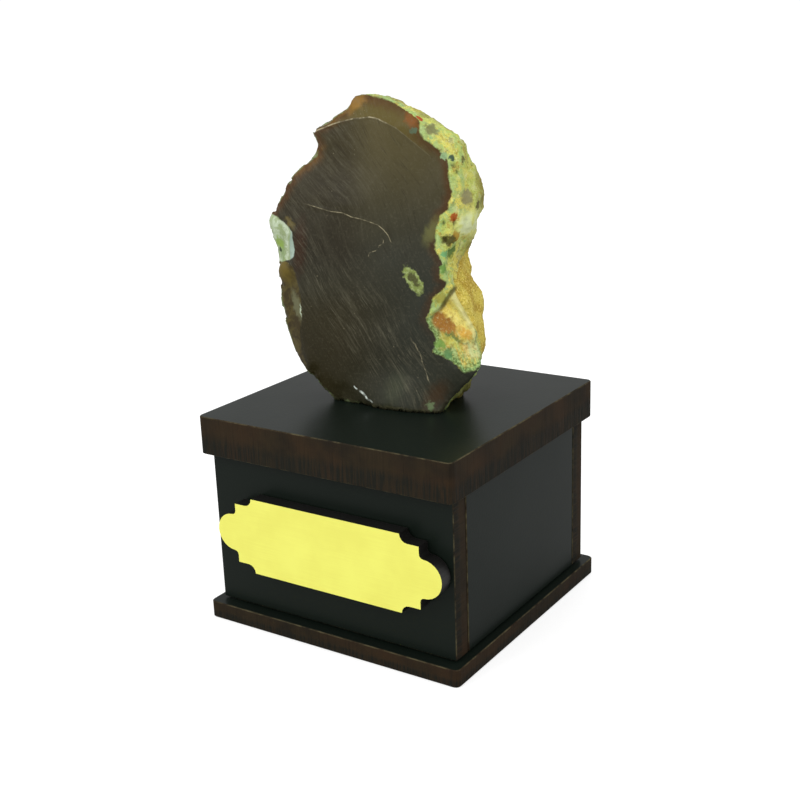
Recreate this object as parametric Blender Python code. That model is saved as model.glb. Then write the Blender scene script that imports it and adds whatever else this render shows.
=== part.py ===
"""A rough agate, broken open, standing on a small black box of laser-cut boards.

The stone grew as one piece and is one solid. The stand is a hollow box: a top board, four panels,
a base board and a bare nameplate. Lengths are in metres, +Z is up, and the nameplate faces -Y.
The origin is in the middle of the whole object's footprint, on the surface that it stands on.
"""

import math

import bmesh
import bpy
from mathutils import Euler, Vector, noise
from mathutils.geometry import delaunay_2d_cdt

MM = 0.001

# Driving dimensions of the stand
GAP = 0.3 * MM
BOX_WIDTH = 50.0 * MM
BOX_DEPTH = 46.8 * MM
BOARD = 3.7 * MM
BASE_THICK = 3.2 * MM
BASE_LIP_X = 1.55 * MM
BASE_LIP_Y = 2.3 * MM
TOP_THICK = 7.0 * MM
TOP_LIP_X = 1.1 * MM
TOP_LIP_Y = 2.1 * MM
STAND_HEIGHT = 39.0 * MM
BOARD_CORNER = 1.0 * MM
CUT_EDGE = 0.15 * MM

# Driving dimensions of the nameplate
PLATE_HALF_LENGTH = 23.35 * MM
PLATE_HALF_HEIGHT = 7.05 * MM
PLATE_THICK = 2.7 * MM
PLATE_END = 3.45 * MM
PLATE_SCOOP = 1.5 * MM
PLATE_END_SCOOP = 0.75 * MM
PLATE_SHOULDER = 2.2 * MM
PLATE_X = 1.05 * MM
PLATE_Z = 18.65 * MM

# The nameplate stands out further than the base board, so the box sits this far back
FRONT_Y = (GAP + PLATE_THICK - BASE_LIP_Y - BOX_DEPTH) / 2

# Where the stone stands on the top board, and how its broken face is turned and leans back
STONE_FOOT = Vector((1.5 * MM, FRONT_Y + 16.6 * MM, STAND_HEIGHT))
STONE_YAW = math.radians(9.1)
STONE_LEAN = math.radians(6.0)

# Spacing of the stone's surface points, in millimetres
RIM_STEP = 1.15
FACE_STEP = 1.3
BACK_STEP = 1.6
WALL_RINGS = 12

# The rim of the broken face in the stone's own frame, clockwise from the peak, in millimetres:
# across the face, up the face, and how far back the rim lies from the face's plane
STONE_RIM = [
    (-7.5, 54.2, 2.2), (-4.5, 53.9, 2.4), (-1.8, 53.4, 2.3), (2.0, 51.7, 1.4), (5.1, 50.0, 0.8),
    (6.6, 47.9, 0.5), (8.6, 45.7, 0.5), (10.5, 42.8, 0.5), (11.3, 39.1, 0.5), (11.7, 36.6, 0.7),
    (11.6, 33.5, 1.2), (11.0, 30.5, 1.5), (10.4, 27.4, 1.3), (10.4, 24.6, 1.0), (11.5, 21.8, 2.3),
    (12.8, 17.9, 3.5), (14.1, 14.4, 4.0), (15.4, 11.0, 4.4), (16.3, 9.2, 3.9), (16.4, 7.9, 1.8),
    (14.0, 4.7, 1.4), (11.8, 2.2, 0.8), (9.1, -0.4, -0.7), (6.6, -2.6, -1.5), (0.0, -3.4, -1.2),
    (-7.0, -2.4, 0.2),(-10.4, -0.2, 1.0), (-12.5, 1.9, 1.2), (-14.8, 3.8, 1.4), (-17.2, 5.2, 1.6),
    (-19.0, 8.0, 1.9), (-20.7, 12.3, 2.0), (-22.0, 17.0, 2.1), (-22.5, 21.1, 2.4), (-23.0, 25.0, 2.9),
    (-23.8, 29.0, 3.2), (-25.0, 31.3, 3.2), (-24.8, 32.7, 2.9), (-22.6, 34.6, 2.0), (-20.4, 38.4, 1.7),
    (-18.5, 40.8, 1.6), (-15.6, 43.2, 1.5), (-14.0, 44.2, 1.3), (-14.3, 45.8, 1.3), (-15.6, 47.8, 1.6),
    (-12.9, 49.2, 1.6), (-10.0, 50.6, 1.7), (-8.5, 51.4, 1.9), (-8.0, 52.7, 2.1),
]

# The point in the face that the crust draws in towards as it goes back
STONE_MIDDLE = (-1.0, 26.0)

# Edges that cross the broken face: where the crust begins at the waist and at the low facet, the inner
# edges of the pale chip and of the facets below it, the top of the chip by the foot, the arc under the
# thin upper band, and a shallow step across the middle
WAIST_EDGE = [(11.8, 36.8), (10.4, 34.7), (9.1, 32.8), (8.9, 29.8), (10.0, 26.8), (9.8, 24.2), (10.4, 23.4)]
CRUST_EDGE = [(10.2, 24.0), (10.5, 23.0), (8.6, 19.2), (7.8, 16.0), (9.5, 13.1), (9.9, 10.8), (12.8, 8.4),
              (16.4, 8.0)]
CHIP_EDGE = [(-22.6, 34.2), (-20.2, 31.8), (-18.6, 28.7), (-18.6, 25.6), (-21.0, 23.2), (-23.6, 22.4)]
LOW_LEFT_EDGE = [(-18.8, 26.0), (-18.1, 24.4), (-17.2, 20.8), (-16.9, 16.3), (-17.3, 11.7), (-15.8, 8.2),
                 (-13.4, 5.4)]
FOOT_EDGE = [(-12.0, 3.2), (-9.0, 3.9), (-6.1, 3.3), (-4.2, 1.8), (-2.2, 0.7), (1.0, -0.6)]
BAND_EDGE = [(-15.0, 47.2), (-12.6, 48.6), (-9.6, 49.7), (-6.0, 50.2), (-2.0, 49.9), (1.3, 48.8), (4.4, 48.6)]
STEP_EDGE = [(-16.0, 35.2), (-12.0, 34.6), (-8.0, 33.8), (-4.9, 33.0), (-1.6, 32.2), (0.2, 30.6), (0.9, 28.6)]

# Facets that slope back from those edges: the edge, corners past the rim that close it, and the slope
FACETS = [
    (WAIST_EDGE, [(20.0, 24.0), (20.0, 36.0)], 0.55),
    (CRUST_EDGE, [(22.0, 8.0), (22.0, 24.0)], 0.72),
    (CHIP_EDGE, [(-30.0, 22.0), (-30.0, 35.0)], 0.62),
    (LOW_LEFT_EDGE, [(-20.0, 2.0), (-30.0, 10.0), (-30.0, 24.0)], 0.34),
    (FOOT_EDGE, [(1.0, -9.0), (-16.0, -9.0)], 0.42),
]
BAND_SLOPE = 0.65
STEP_HEIGHT = 0.28
LEDGE_DEPTH = 0.5

# Where the blow fell that broke the stone: the face's ripples spread out from here
STRIKE = (-24.0, 62.0)

# How rough the rim is, where 0 is the broken face and 1 is the crust
RIM_CRUST = 0.35

# Swellings of the crust: middle in the stone's own frame, radius and height, in millimetres
CRUST_KNOBS = [
    ((14.0, 33.6, 5.5), 2.6, 0.9), ((12.8, 39.5, 9.0), 3.2, 0.7), ((9.0, 46.5, 5.0), 2.8, 0.6),
    ((13.5, 19.5, 9.0), 3.0, 0.7), ((2.0, 30.0, 17.0), 5.0, 0.9), ((-3.0, 15.0, 16.0), 4.5, 0.8),
]


def clear_scene():
    """Empty the scene, so that the script gives the same result each time it runs."""
    for old in list(bpy.data.objects):
        bpy.data.objects.remove(old, do_unlink=True)


def finish_material(name, colour, roughness, metallic=0.0):
    """A plain Principled material."""
    material = bpy.data.materials.new(name)
    material.use_nodes = True
    shader = material.node_tree.nodes["Principled BSDF"]
    shader.inputs["Base Color"].default_value = (*colour, 1.0)
    shader.inputs["Roughness"].default_value = roughness
    shader.inputs["Metallic"].default_value = metallic
    material.diffuse_color = (*colour, 1.0)
    return material


def add_object(name, mesh_data, material, location=(0, 0, 0), rotation=(0, 0, 0)):
    """Turn a bmesh into a named object with one material."""
    mesh = bpy.data.meshes.new(name)
    mesh_data.to_mesh(mesh)
    mesh_data.free()
    mesh.materials.append(material)
    thing = bpy.data.objects.new(name, mesh)
    thing.location = location
    thing.rotation_euler = rotation
    bpy.context.scene.collection.objects.link(thing)
    return thing


def extruded(outline, height):
    """A closed prism over a flat outline, standing on the XY plane."""
    mesh_data = bmesh.new()
    floor = mesh_data.faces.new([mesh_data.verts.new((x, y, 0.0)) for x, y in outline])
    raised = bmesh.ops.extrude_face_region(mesh_data, geom=[floor])["geom"]
    corners = [item for item in raised if isinstance(item, bmesh.types.BMVert)]
    bmesh.ops.translate(mesh_data, verts=corners, vec=(0.0, 0.0, height))
    bmesh.ops.recalc_face_normals(mesh_data, faces=mesh_data.faces)
    return mesh_data


def arc(centre, radius, start, end, steps):
    """Points on an arc, from start to end in degrees."""
    points = []
    for step in range(steps + 1):
        angle = math.radians(start + (end - start) * step / steps)
        points.append((centre[0] + radius * math.cos(angle), centre[1] + radius * math.sin(angle)))
    return points


def rounded_rectangle(width, depth, radius, steps=3):
    """The outline of a laser-cut board with its corners just rounded."""
    half_x = width / 2 - radius
    half_y = depth / 2 - radius
    outline = []
    for sign_x, sign_y, start in ((1, 1, 0), (-1, 1, 90), (-1, -1, 180), (1, -1, 270)):
        outline += arc((sign_x * half_x, sign_y * half_y), radius, start, start + 90, steps)
    return outline


def soften_edges(thing, width):
    """Break the sharp edges of a board with a narrow flat bevel."""
    bevel = thing.modifiers.new("cut_edge", "BEVEL")
    bevel.width = width
    bevel.segments = 1
    bevel.limit_method = "ANGLE"
    bevel.angle_limit = math.radians(60)


def flat_board(name, lip_x, lip_y, thick, bottom, material):
    """A board that lies flat and stands out past the box by a lip."""
    outline = rounded_rectangle(BOX_WIDTH + 2 * lip_x, BOX_DEPTH + 2 * lip_y, BOARD_CORNER)
    board = add_object(name, extruded(outline, thick), material, (0, FRONT_Y + BOX_DEPTH / 2, bottom))
    soften_edges(board, CUT_EDGE)
    return board


def panel(name, width, thick, centre, material):
    """An upright panel of the box, between the base board and the top board."""
    bottom = BASE_THICK + GAP
    height = STAND_HEIGHT - TOP_THICK - GAP - bottom
    x, y = width / 2, thick / 2
    outline = [(x, y), (-x, y), (-x, -y), (x, -y)]
    wall = add_object(name, extruded(outline, height), material, (*centre, bottom))
    soften_edges(wall, CUT_EDGE)
    return wall


def build_stand():
    """The hollow box: front and back panels run the full width, and the side panels sit between."""
    black = finish_material("black_melamine", (0.018, 0.020, 0.020), 0.35)
    flat_board("base_board", BASE_LIP_X, BASE_LIP_Y, BASE_THICK, 0.0, black)
    flat_board("top_board", TOP_LIP_X, TOP_LIP_Y, TOP_THICK, STAND_HEIGHT - TOP_THICK, black)
    panel("front_panel", BOX_WIDTH, BOARD, (0, FRONT_Y + BOARD / 2), black)
    panel("back_panel", BOX_WIDTH, BOARD, (0, FRONT_Y + BOX_DEPTH - BOARD / 2), black)
    side_length = BOX_DEPTH - 2 * (BOARD + GAP)
    side_x = BOX_WIDTH / 2 - BOARD / 2
    panel("left_side_panel", BOARD, side_length, (-side_x, FRONT_Y + BOX_DEPTH / 2), black)
    panel("right_side_panel", BOARD, side_length, (side_x, FRONT_Y + BOX_DEPTH / 2), black)


def plate_quarter():
    """A quarter of the nameplate's outline: a flat top, two scooped shoulders and a round end."""
    end_x = PLATE_HALF_LENGTH - PLATE_END
    shoulder_x = end_x - PLATE_END_SCOOP
    points = arc((end_x, 0.0), PLATE_END, 0, 90, 7)
    points += arc((end_x, PLATE_END + PLATE_END_SCOOP), PLATE_END_SCOOP, 270, 180, 3)
    points.append((shoulder_x, PLATE_HALF_HEIGHT - PLATE_SCOOP))
    points += arc((shoulder_x - PLATE_SHOULDER, PLATE_HALF_HEIGHT), PLATE_SCOOP, 270, 180, 4)
    return points


def nameplate_outline():
    """The whole outline, mirrored from its quarter, counter-clockwise."""
    right = plate_quarter()
    left = [(-x, y) for x, y in reversed(right)]
    upper = right + left
    lower = [(-x, -y) for x, y in upper[1:-1]]
    return upper + lower


def build_nameplate():
    """A thick laser-cut plate with a bare gold face."""
    gold = finish_material("plate_gold", (0.90, 0.86, 0.16), 0.35, 0.3)
    place = (PLATE_X, FRONT_Y - GAP, PLATE_Z)
    return add_object("nameplate", extruded(nameplate_outline(), PLATE_THICK), gold, place,
                      (math.radians(90), 0, 0))


def smooth_loop(anchors, spacing):
    """Even points along a closed Catmull-Rom curve through the anchors."""
    anchors = [Vector(anchor) for anchor in anchors]
    count = len(anchors)
    fine = []
    for index in range(count):
        before, start, end, after = (anchors[(index + step) % count] for step in (-1, 0, 1, 2))
        for part in range(12):
            t = part / 12
            fine.append(0.5 * (2 * start + (end - before) * t
                               + (2 * before - 5 * start + 4 * end - after) * t * t
                               + (3 * start - before - 3 * end + after) * t ** 3))
    lengths = [(fine[(index + 1) % len(fine)] - fine[index]).length for index in range(len(fine))]
    number = round(sum(lengths) / spacing)
    step = sum(lengths) / number
    points = []
    travelled = 0.0
    for index, length in enumerate(lengths):
        while len(points) < number and len(points) * step <= travelled + length:
            share = (len(points) * step - travelled) / length
            points.append(fine[index].lerp(fine[(index + 1) % len(fine)], share))
        travelled += length
    return points


def along(points, spacing):
    """Points at about the given spacing along an open run of straight lines."""
    result = [Vector(points[0])]
    for start, end in zip(points, points[1:]):
        start, end = Vector(start), Vector(end)
        pieces = max(1, round((end - start).length / spacing))
        result += [start.lerp(end, piece / pieces) for piece in range(1, pieces + 1)]
    return result


def nearest_on(points, x, y, closed=True):
    """Distance to a run of straight lines, and where on it the nearest point is."""
    best = (1e9, 0, 0.0)
    last = len(points) if closed else len(points) - 1
    for index in range(last):
        ax, ay = points[index][0], points[index][1]
        bx, by = points[(index + 1) % len(points)][0], points[(index + 1) % len(points)][1]
        dx, dy = bx - ax, by - ay
        share = max(0.0, min(1.0, ((x - ax) * dx + (y - ay) * dy) / (dx * dx + dy * dy + 1e-12)))
        distance = math.hypot(x - ax - share * dx, y - ay - share * dy)
        if distance < best[0]:
            best = (distance, index, share)
    return best


def inside(points, x, y):
    """Whether a point lies inside a closed outline."""
    result = False
    for index in range(len(points)):
        ax, ay = points[index - 1][0], points[index - 1][1]
        bx, by = points[index][0], points[index][1]
        if (ay > y) != (by > y) and x < ax + (y - ay) * (bx - ax) / (by - ay):
            result = not result
    return result


def rise(low, high, value):
    """A smooth step from 0 at the first value to 1 at the second."""
    t = max(0.0, min(1.0, (value - low) / (high - low)))
    return t * t * (3 - 2 * t)


def bell(middle, width, value):
    """A smooth bump of height 1."""
    return math.exp(-((value - middle) / width) ** 2)


def beyond(edge, x, y):
    """How far a point lies past an open edge, on the side away from the middle of the face."""
    distance, index, _ = nearest_on(edge, x, y, closed=False)
    ax, ay = edge[index][0], edge[index][1]
    bx, by = edge[index + 1][0], edge[index + 1][1]
    side = (bx - ax) * (y - ay) - (by - ay) * (x - ax)
    return distance if side > 0 else -distance


def wavy(x, y, size, layer):
    """Smooth noise between about -1 and 1, with lumps of the given size."""
    return noise.noise(Vector((x / size, y / size, layer)))


def face_depth(x, y):
    """How far back the broken face lies at a point: a gently domed surface with its facets."""
    dome = 0.0021 * ((x + 1.0) ** 2 + 0.4 * (y - 22.0) ** 2)
    swollen_foot = 1.9 * bell(4.5, 7.5, x) * bell(-1.0, 5.5, y)
    from_strike = math.hypot(x - STRIKE[0], y - STRIKE[1])
    ripples = 0.07 * math.sin((from_strike + 6.0 * wavy(x, y, 11.0, 1.0)) / 1.3)
    depth = dome - swollen_foot + ripples * rise(26.0, 44.0, from_strike) + 0.55 * wavy(x, y, 12.0, 5.0)
    depth += BAND_SLOPE * max(0.0, beyond(BAND_EDGE, x, y)) * rise(44.0, 47.0, y)
    for edge, corners, slope in FACETS:
        if inside([*edge, *corners], x, y):
            depth += slope * nearest_on(edge, x, y, closed=False)[0]
            if edge is CRUST_EDGE:
                depth += LEDGE_DEPTH * rise(15.0, 19.0, y)
    past_step = beyond(STEP_EDGE, x, y)
    step = rise(-0.1, 0.5, past_step) * (1.0 - rise(1.0, 9.0, past_step))
    return depth - STEP_HEIGHT * step * bell(-7.0, 7.5, x)


def back_depth(x, y):
    """How far back the hidden side lies: thick on the right, down to a thin edge on the left."""
    thin_top = 1.0 - 0.62 * rise(36.0, 55.0, y)
    wedge = 3.6 + 12.4 * rise(-25.0, -4.0, x) * thin_top
    dome = 2.2 * max(0.0, 1.0 - ((x + 1.0) / 15.0) ** 2 - ((y - 23.0) / 24.0) ** 2)
    return wedge + dome + 0.7 * wavy(x, y, 8.0, 3.0) + 0.35 * wavy(x, y, 3.5, 9.0)


def wall_swell(x, y):
    """How far the crust swells out beyond the face's rim: an upper and a lower lobe, and a waist."""
    upper = 2.2 * bell(41.0, 9.0, y) + 0.9 * bell(32.0, 4.0, y)
    lower = 1.1 * bell(17.0, 5.0, y)
    waist = 0.6 * bell(26.0, 3.0, y)
    return 0.2 + rise(-2.0, 8.0, x) * (upper + lower - waist)


def wall_taper(x, y):
    """How fast the crust draws in behind the face's rim, which it does most at the lower right."""
    return 0.40 * rise(4.0, 12.0, x) * bell(9.0, 5.5, y)


def filled(outline, depth_at, spacing, creases=()):
    """A triangulated sheet inside an outline, with its points at the depth that a function gives.

    The first points are the outline's own, so that two sheets and a wall can share them."""
    points = [Vector((point[0], point[1])) for point in outline]
    rim_count = len(points)
    for crease in creases:
        for point in along(crease, spacing * 0.8):
            if inside(outline, *point) and nearest_on(outline, *point)[0] > 0.45 * spacing:
                points.append(point)
    fixed = list(points)
    low_x, high_x = min(p.x for p in points), max(p.x for p in points)
    low_y, high_y = min(p.y for p in points), max(p.y for p in points)
    row_height = spacing * math.sqrt(0.75)
    rows = int((high_y - low_y) / row_height) + 1
    columns = int((high_x - low_x) / spacing) + 2
    for row in range(rows):
        for column in range(columns):
            x = low_x + (column + 0.5 * (row % 2)) * spacing
            y = low_y + row * row_height
            if not inside(outline, x, y):
                continue
            if min((point - Vector((x, y))).length for point in fixed) > 0.62 * spacing:
                points.append(Vector((x, y)))
    rim = [(index, (index + 1) % rim_count) for index in range(rim_count)]
    flat, _, triangles, _, _, _ = delaunay_2d_cdt(points, rim, [], 1, 1e-6)
    places = []
    for index, point in enumerate(flat):
        if index < rim_count:
            places.append(Vector((point.x, point.y, outline[index][2])))
            continue
        distance, nearest, share = nearest_on(outline, point.x, point.y)
        start, end = outline[nearest], outline[(nearest + 1) % rim_count]
        rim_point = Vector(start).lerp(Vector(end), share)
        pull = (rim_point.z - depth_at(rim_point.x, rim_point.y)) * math.exp(-distance / 2.2)
        places.append(Vector((point.x, point.y, depth_at(point.x, point.y) + pull)))
    return places, triangles


def outward_normals(rim):
    """The direction away from the stone at each point of the rim, smoothed along it."""
    count = len(rim)
    normals = []
    for index in range(count):
        ahead = rim[(index + 2) % count]
        behind = rim[index - 2]
        normals.append(Vector((ahead.y - behind.y, behind.x - ahead.x, 0.0)).normalized())
    return [(normals[index - 1] + normals[index] + normals[(index + 1) % count]).normalized()
            for index in range(count)]


def stone_rings(rim):
    """The wall of the stone, as rings from the face's rim to where the back begins."""
    normals = outward_normals(rim)
    rings = [rim]
    for ring in range(1, WALL_RINGS + 1):
        t = ring / WALL_RINGS
        places = []
        for point, normal in zip(rim, normals):
            thick = max(0.9, back_depth(point.x, point.y) - 1.2 - point.z)
            swell = wall_swell(point.x, point.y) * math.sin(math.pi * min(1.0, t * 0.98)) ** 0.8
            inset = min(2.6, 0.22 * thick) * t ** 3 + wall_taper(point.x, point.y) * thick * t
            inward = Vector((STONE_MIDDLE[0] - point.x, STONE_MIDDLE[1] - point.y, 0.0)).normalized()
            place = point + normal * swell + inward * inset
            place.z = point.z + thick * (t - 0.08 * math.sin(2 * math.pi * t))
            places.append(place)
        for _ in range(round(4 * t)):
            places = [(places[index - 1] + 2 * places[index] + places[(index + 1) % len(places)]) / 4
                      for index in range(len(places))]
        rings.append(places)
    return rings


def even_out(mesh_data, crust, factor):
    """Draw the points of the crust towards their neighbours, which spreads out any that crowd."""
    crusty = [vertex for vertex in mesh_data.verts if crust[vertex.index] > RIM_CRUST]
    bmesh.ops.smooth_vert(mesh_data, verts=crusty, factor=factor, use_axis_x=True, use_axis_y=True,
                          use_axis_z=True)


def slow_normals(mesh_data):
    """The direction out of the stone at each point, averaged over its neighbours several times."""
    mesh_data.normal_update()
    normals = [vertex.normal.copy() for vertex in mesh_data.verts]
    for _ in range(5):
        averaged = []
        for vertex in mesh_data.verts:
            total = normals[vertex.index].copy()
            for edge in vertex.link_edges:
                total += normals[edge.other_vert(vertex).index]
            averaged.append(total.normalized())
        normals = averaged
    return normals


def roughen(mesh_data, crust):
    """Push the crust's lumps out and its pits in."""
    for _ in range(3):
        even_out(mesh_data, crust, 0.5)
    places = [vertex.co.copy() for vertex in mesh_data.verts]
    for vertex, normal, place in zip(mesh_data.verts, slow_normals(mesh_data), places):
        amount = crust[vertex.index]
        lumps = 0.9 * noise.noise(place / 4.2) + 0.6 * noise.noise(place / 2.3 + Vector((5, 1, 7)))
        pit = 0.6 * rise(0.42, 0.1, noise.voronoi(place / 4.5)[0][0])
        knobs = sum(height * bell(0.0, radius, (place - Vector(centre)).length)
                    for centre, radius, height in CRUST_KNOBS)
        vertex.co = place + normal * (amount * (lumps - pit) + knobs)
    even_out(mesh_data, crust, 0.2)


def stone_solid():
    """The closed stone in its own frame, in millimetres: across, up and back."""
    rim = list(reversed(smooth_loop(STONE_RIM, RIM_STEP)))
    count = len(rim)
    rings = stone_rings(rim)
    mesh_data = bmesh.new()
    crust = {}

    def add_points(places, weight):
        added = []
        for place in places:
            vertex = mesh_data.verts.new(place)
            crust[len(crust)] = weight(place)
            added.append(vertex)
        return added

    creases = [BAND_EDGE, STEP_EDGE, *(edge for edge, _, _ in FACETS)]
    face_places, face_triangles = filled(rim, face_depth, FACE_STEP, creases)
    face = add_points(face_places[:count], lambda p: RIM_CRUST)
    face += add_points(face_places[count:], lambda p: 0.0)
    for triangle in face_triangles:
        mesh_data.faces.new([face[corner] for corner in triangle])
    previous = face[:count]
    for ring in rings[1:]:
        current = add_points(ring, lambda p: 0.36 + 0.64 * rise(-8.0, 4.0, p.x))
        for index in range(count):
            after = (index + 1) % count
            mesh_data.faces.new([previous[index], previous[after], current[after]])
            mesh_data.faces.new([previous[index], current[after], current[index]])
        previous = current
    back_places, back_triangles = filled(rings[-1], back_depth, BACK_STEP)
    back = previous + add_points(back_places[count:], lambda p: 0.36 + 0.64 * rise(-10.0, 2.0, p.x))
    for triangle in back_triangles:
        mesh_data.faces.new([back[corner] for corner in reversed(triangle)])
    mesh_data.verts.index_update()
    bmesh.ops.recalc_face_normals(mesh_data, faces=mesh_data.faces)
    roughen(mesh_data, crust)
    return mesh_data


def cut_foot(mesh_data, turn):
    """Cut the stone off flat, a gap above the top board."""
    to_stone = turn.to_matrix().inverted()
    plane_point = to_stone @ Vector((0.0, 0.0, GAP))
    plane_normal = to_stone @ Vector((0.0, 0.0, 1.0))
    everything = mesh_data.verts[:] + mesh_data.edges[:] + mesh_data.faces[:]
    bmesh.ops.bisect_plane(mesh_data, geom=everything, plane_co=plane_point, plane_no=plane_normal,
                           clear_inner=True)
    bmesh.ops.holes_fill(mesh_data, edges=[edge for edge in mesh_data.edges if edge.is_boundary])
    bmesh.ops.remove_doubles(mesh_data, verts=mesh_data.verts, dist=0.08 * MM)
    bmesh.ops.triangulate(mesh_data, faces=[face for face in mesh_data.faces if len(face.verts) > 3])


def build_agate():
    """The agate, set on the top board with its broken face to the front."""
    mesh_data = stone_solid()
    for vertex in mesh_data.verts:
        across, up, back = vertex.co
        vertex.co = Vector((across, back, up)) * MM
    bmesh.ops.recalc_face_normals(mesh_data, faces=mesh_data.faces)
    turn = Euler((-STONE_LEAN, 0.0, STONE_YAW))
    cut_foot(mesh_data, turn)
    bmesh.ops.recalc_face_normals(mesh_data, faces=mesh_data.faces)
    brown = finish_material("agate_stone", (0.16, 0.13, 0.08), 0.3)
    stone = add_object("agate", mesh_data, brown, STONE_FOOT, turn)
    stone.data.shade_smooth()
    stone.data.set_sharp_from_angle(angle=math.radians(38))
    return stone


clear_scene()
build_stand()
build_nameplate()
build_agate()
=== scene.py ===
# %% [markdown]
# # A rough agate on a small black box
#
# A nodule of agate was broken open and set on a stand of laser-cut boards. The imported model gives
# every piece its size and place. This lesson gives each one its finish: the satin broken face with
# its fine scratches, the lumpy yellow-green crust round it, the black boards with their scorched
# edges, and the bare golden nameplate. Lengths are in metres and +Z is up.

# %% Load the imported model
import math

import bmesh
import bpy
import numpy as np
from mathutils import Euler, Matrix, Quaternion, Vector
from mathutils.bvhtree import BVHTree
from mathutils.kdtree import KDTree


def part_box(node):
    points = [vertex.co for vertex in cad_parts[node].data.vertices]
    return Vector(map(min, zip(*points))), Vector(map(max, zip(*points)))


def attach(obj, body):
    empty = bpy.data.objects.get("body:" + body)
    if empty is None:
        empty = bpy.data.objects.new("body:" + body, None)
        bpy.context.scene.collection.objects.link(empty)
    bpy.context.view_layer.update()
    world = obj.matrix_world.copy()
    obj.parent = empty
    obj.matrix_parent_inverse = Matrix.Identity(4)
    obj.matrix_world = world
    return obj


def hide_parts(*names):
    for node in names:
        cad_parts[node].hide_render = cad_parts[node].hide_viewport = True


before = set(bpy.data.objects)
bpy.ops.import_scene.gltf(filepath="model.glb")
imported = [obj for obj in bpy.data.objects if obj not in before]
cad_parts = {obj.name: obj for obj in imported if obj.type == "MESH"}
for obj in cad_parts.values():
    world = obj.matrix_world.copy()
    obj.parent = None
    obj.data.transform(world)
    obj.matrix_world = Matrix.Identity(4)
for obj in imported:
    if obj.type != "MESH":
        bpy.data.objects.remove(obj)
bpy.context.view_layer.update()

MM = 0.001
print("nodes:", ", ".join(sorted(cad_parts)))

# %% [markdown]
# ## The camera
#
# The camera comes first, because marks on the stone are placed later by where the photograph shows
# them. A long lens from about 22 cm away keeps the box's edges nearly parallel. The camera could be
# aimed by a constraint, but a place, two angles and a small roll say exactly where it looks.

# %% Set up the camera
CAMERA_PLACE = Vector((122.1, -181.4, 106.8)) * MM
CAMERA_AZIMUTH = math.radians(34.03)
CAMERA_ELEVATION = math.radians(17.29)
CAMERA_ROLL = math.radians(-2.135)
LENS = 56.94
SENSOR = 36.0
SHIFT_X = 0.0032
SHIFT_Y = -0.0010
PHOTO_SIZE = 800


def add_camera():
    """The camera, turned to look along its azimuth and elevation and then rolled."""
    data = bpy.data.cameras.new("photo_camera")
    data.lens = LENS
    data.sensor_width = SENSOR
    data.shift_x = SHIFT_X
    data.shift_y = SHIFT_Y
    data.clip_start = 0.01
    data.clip_end = 20.0
    camera = bpy.data.objects.new("photo_camera", data)
    flat = math.cos(CAMERA_ELEVATION)
    back = Vector((math.sin(CAMERA_AZIMUTH) * flat, -math.cos(CAMERA_AZIMUTH) * flat,
                   math.sin(CAMERA_ELEVATION)))
    camera.rotation_mode = "QUATERNION"
    camera.rotation_quaternion = (-back).to_track_quat("-Z", "Y") @ Quaternion((0, 0, 1), CAMERA_ROLL)
    camera.location = CAMERA_PLACE
    bpy.context.scene.collection.objects.link(camera)
    bpy.context.scene.camera = camera
    return camera


camera = add_camera()
camera_turn = camera.rotation_quaternion.to_matrix()
print("camera stands", round(CAMERA_PLACE.length / MM), "mm from the origin")

# %% [markdown]
# ## The studio
#
# The photograph was taken in a white light tent. A pale floor and an even white sky give light from
# all round. A wide lamp overhead lights the floor, and two smaller soft ones stand in front on the left
# and to the right, where the crust is. A world image could do all this, but lamps are easier to move
# and to understand. Sky and floor are brighter for the camera than for the stand, so the background
# stays plain white and the black boards still mirror only a dim table.

# %% Build the floor, the sky and the lamps
FLOOR_HALF = 0.6
FLOOR_LEVEL = -0.05 * MM
FLOOR_GREY = 0.58
FLOOR_GLOW = 0.6
SKY_SEEN = 1.05
SKY_LIGHT = 0.62
LAMP_AIM = Vector((0.0, 0.0, 50.0)) * MM
SOFT_LAMPS = {
    "roof_lamp": ((0, 60, 1300), 1300, 6.5),
    "front_lamp": ((-320, -520, 420), 420, 1.5),
    "right_lamp": ((420, -420, 380), 360, 1.0),
}


def seen_and_unseen(tree, seen_level, unseen_level, socket):
    """Give a socket one level for what the camera sees, and another for what lights the stand."""
    path = tree.nodes.new("ShaderNodeLightPath")
    level = tree.nodes.new("ShaderNodeMapRange")
    level.inputs["To Min"].default_value = unseen_level
    level.inputs["To Max"].default_value = seen_level
    tree.links.new(path.outputs["Is Camera Ray"], level.inputs["Value"])
    tree.links.new(level.outputs["Result"], socket)


def floor_material():
    """Pale and plain, with a glow that only the camera sees, like the lit table of a light tent."""
    material = bpy.data.materials.new("pale_floor")
    material.use_nodes = True
    shader = material.node_tree.nodes["Principled BSDF"]
    shader.inputs["Base Color"].default_value = (FLOOR_GREY, FLOOR_GREY, FLOOR_GREY, 1.0)
    shader.inputs["Roughness"].default_value = 0.7
    shader.inputs["Emission Color"].default_value = (1.0, 1.0, 1.0, 1.0)
    seen_and_unseen(material.node_tree, FLOOR_GLOW, 0.0, shader.inputs["Emission Strength"])
    return material


def add_floor():
    """A plain pale floor, just under the stand."""
    corners = [(-1, -1), (1, -1), (1, 1), (-1, 1)]
    mesh = bpy.data.meshes.new("floor")
    places = [(x * FLOOR_HALF, y * FLOOR_HALF, FLOOR_LEVEL) for x, y in corners]
    mesh.from_pydata(places, [], [(0, 1, 2, 3)])
    mesh.materials.append(floor_material())
    floor = bpy.data.objects.new("floor", mesh)
    bpy.context.scene.collection.objects.link(floor)


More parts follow.
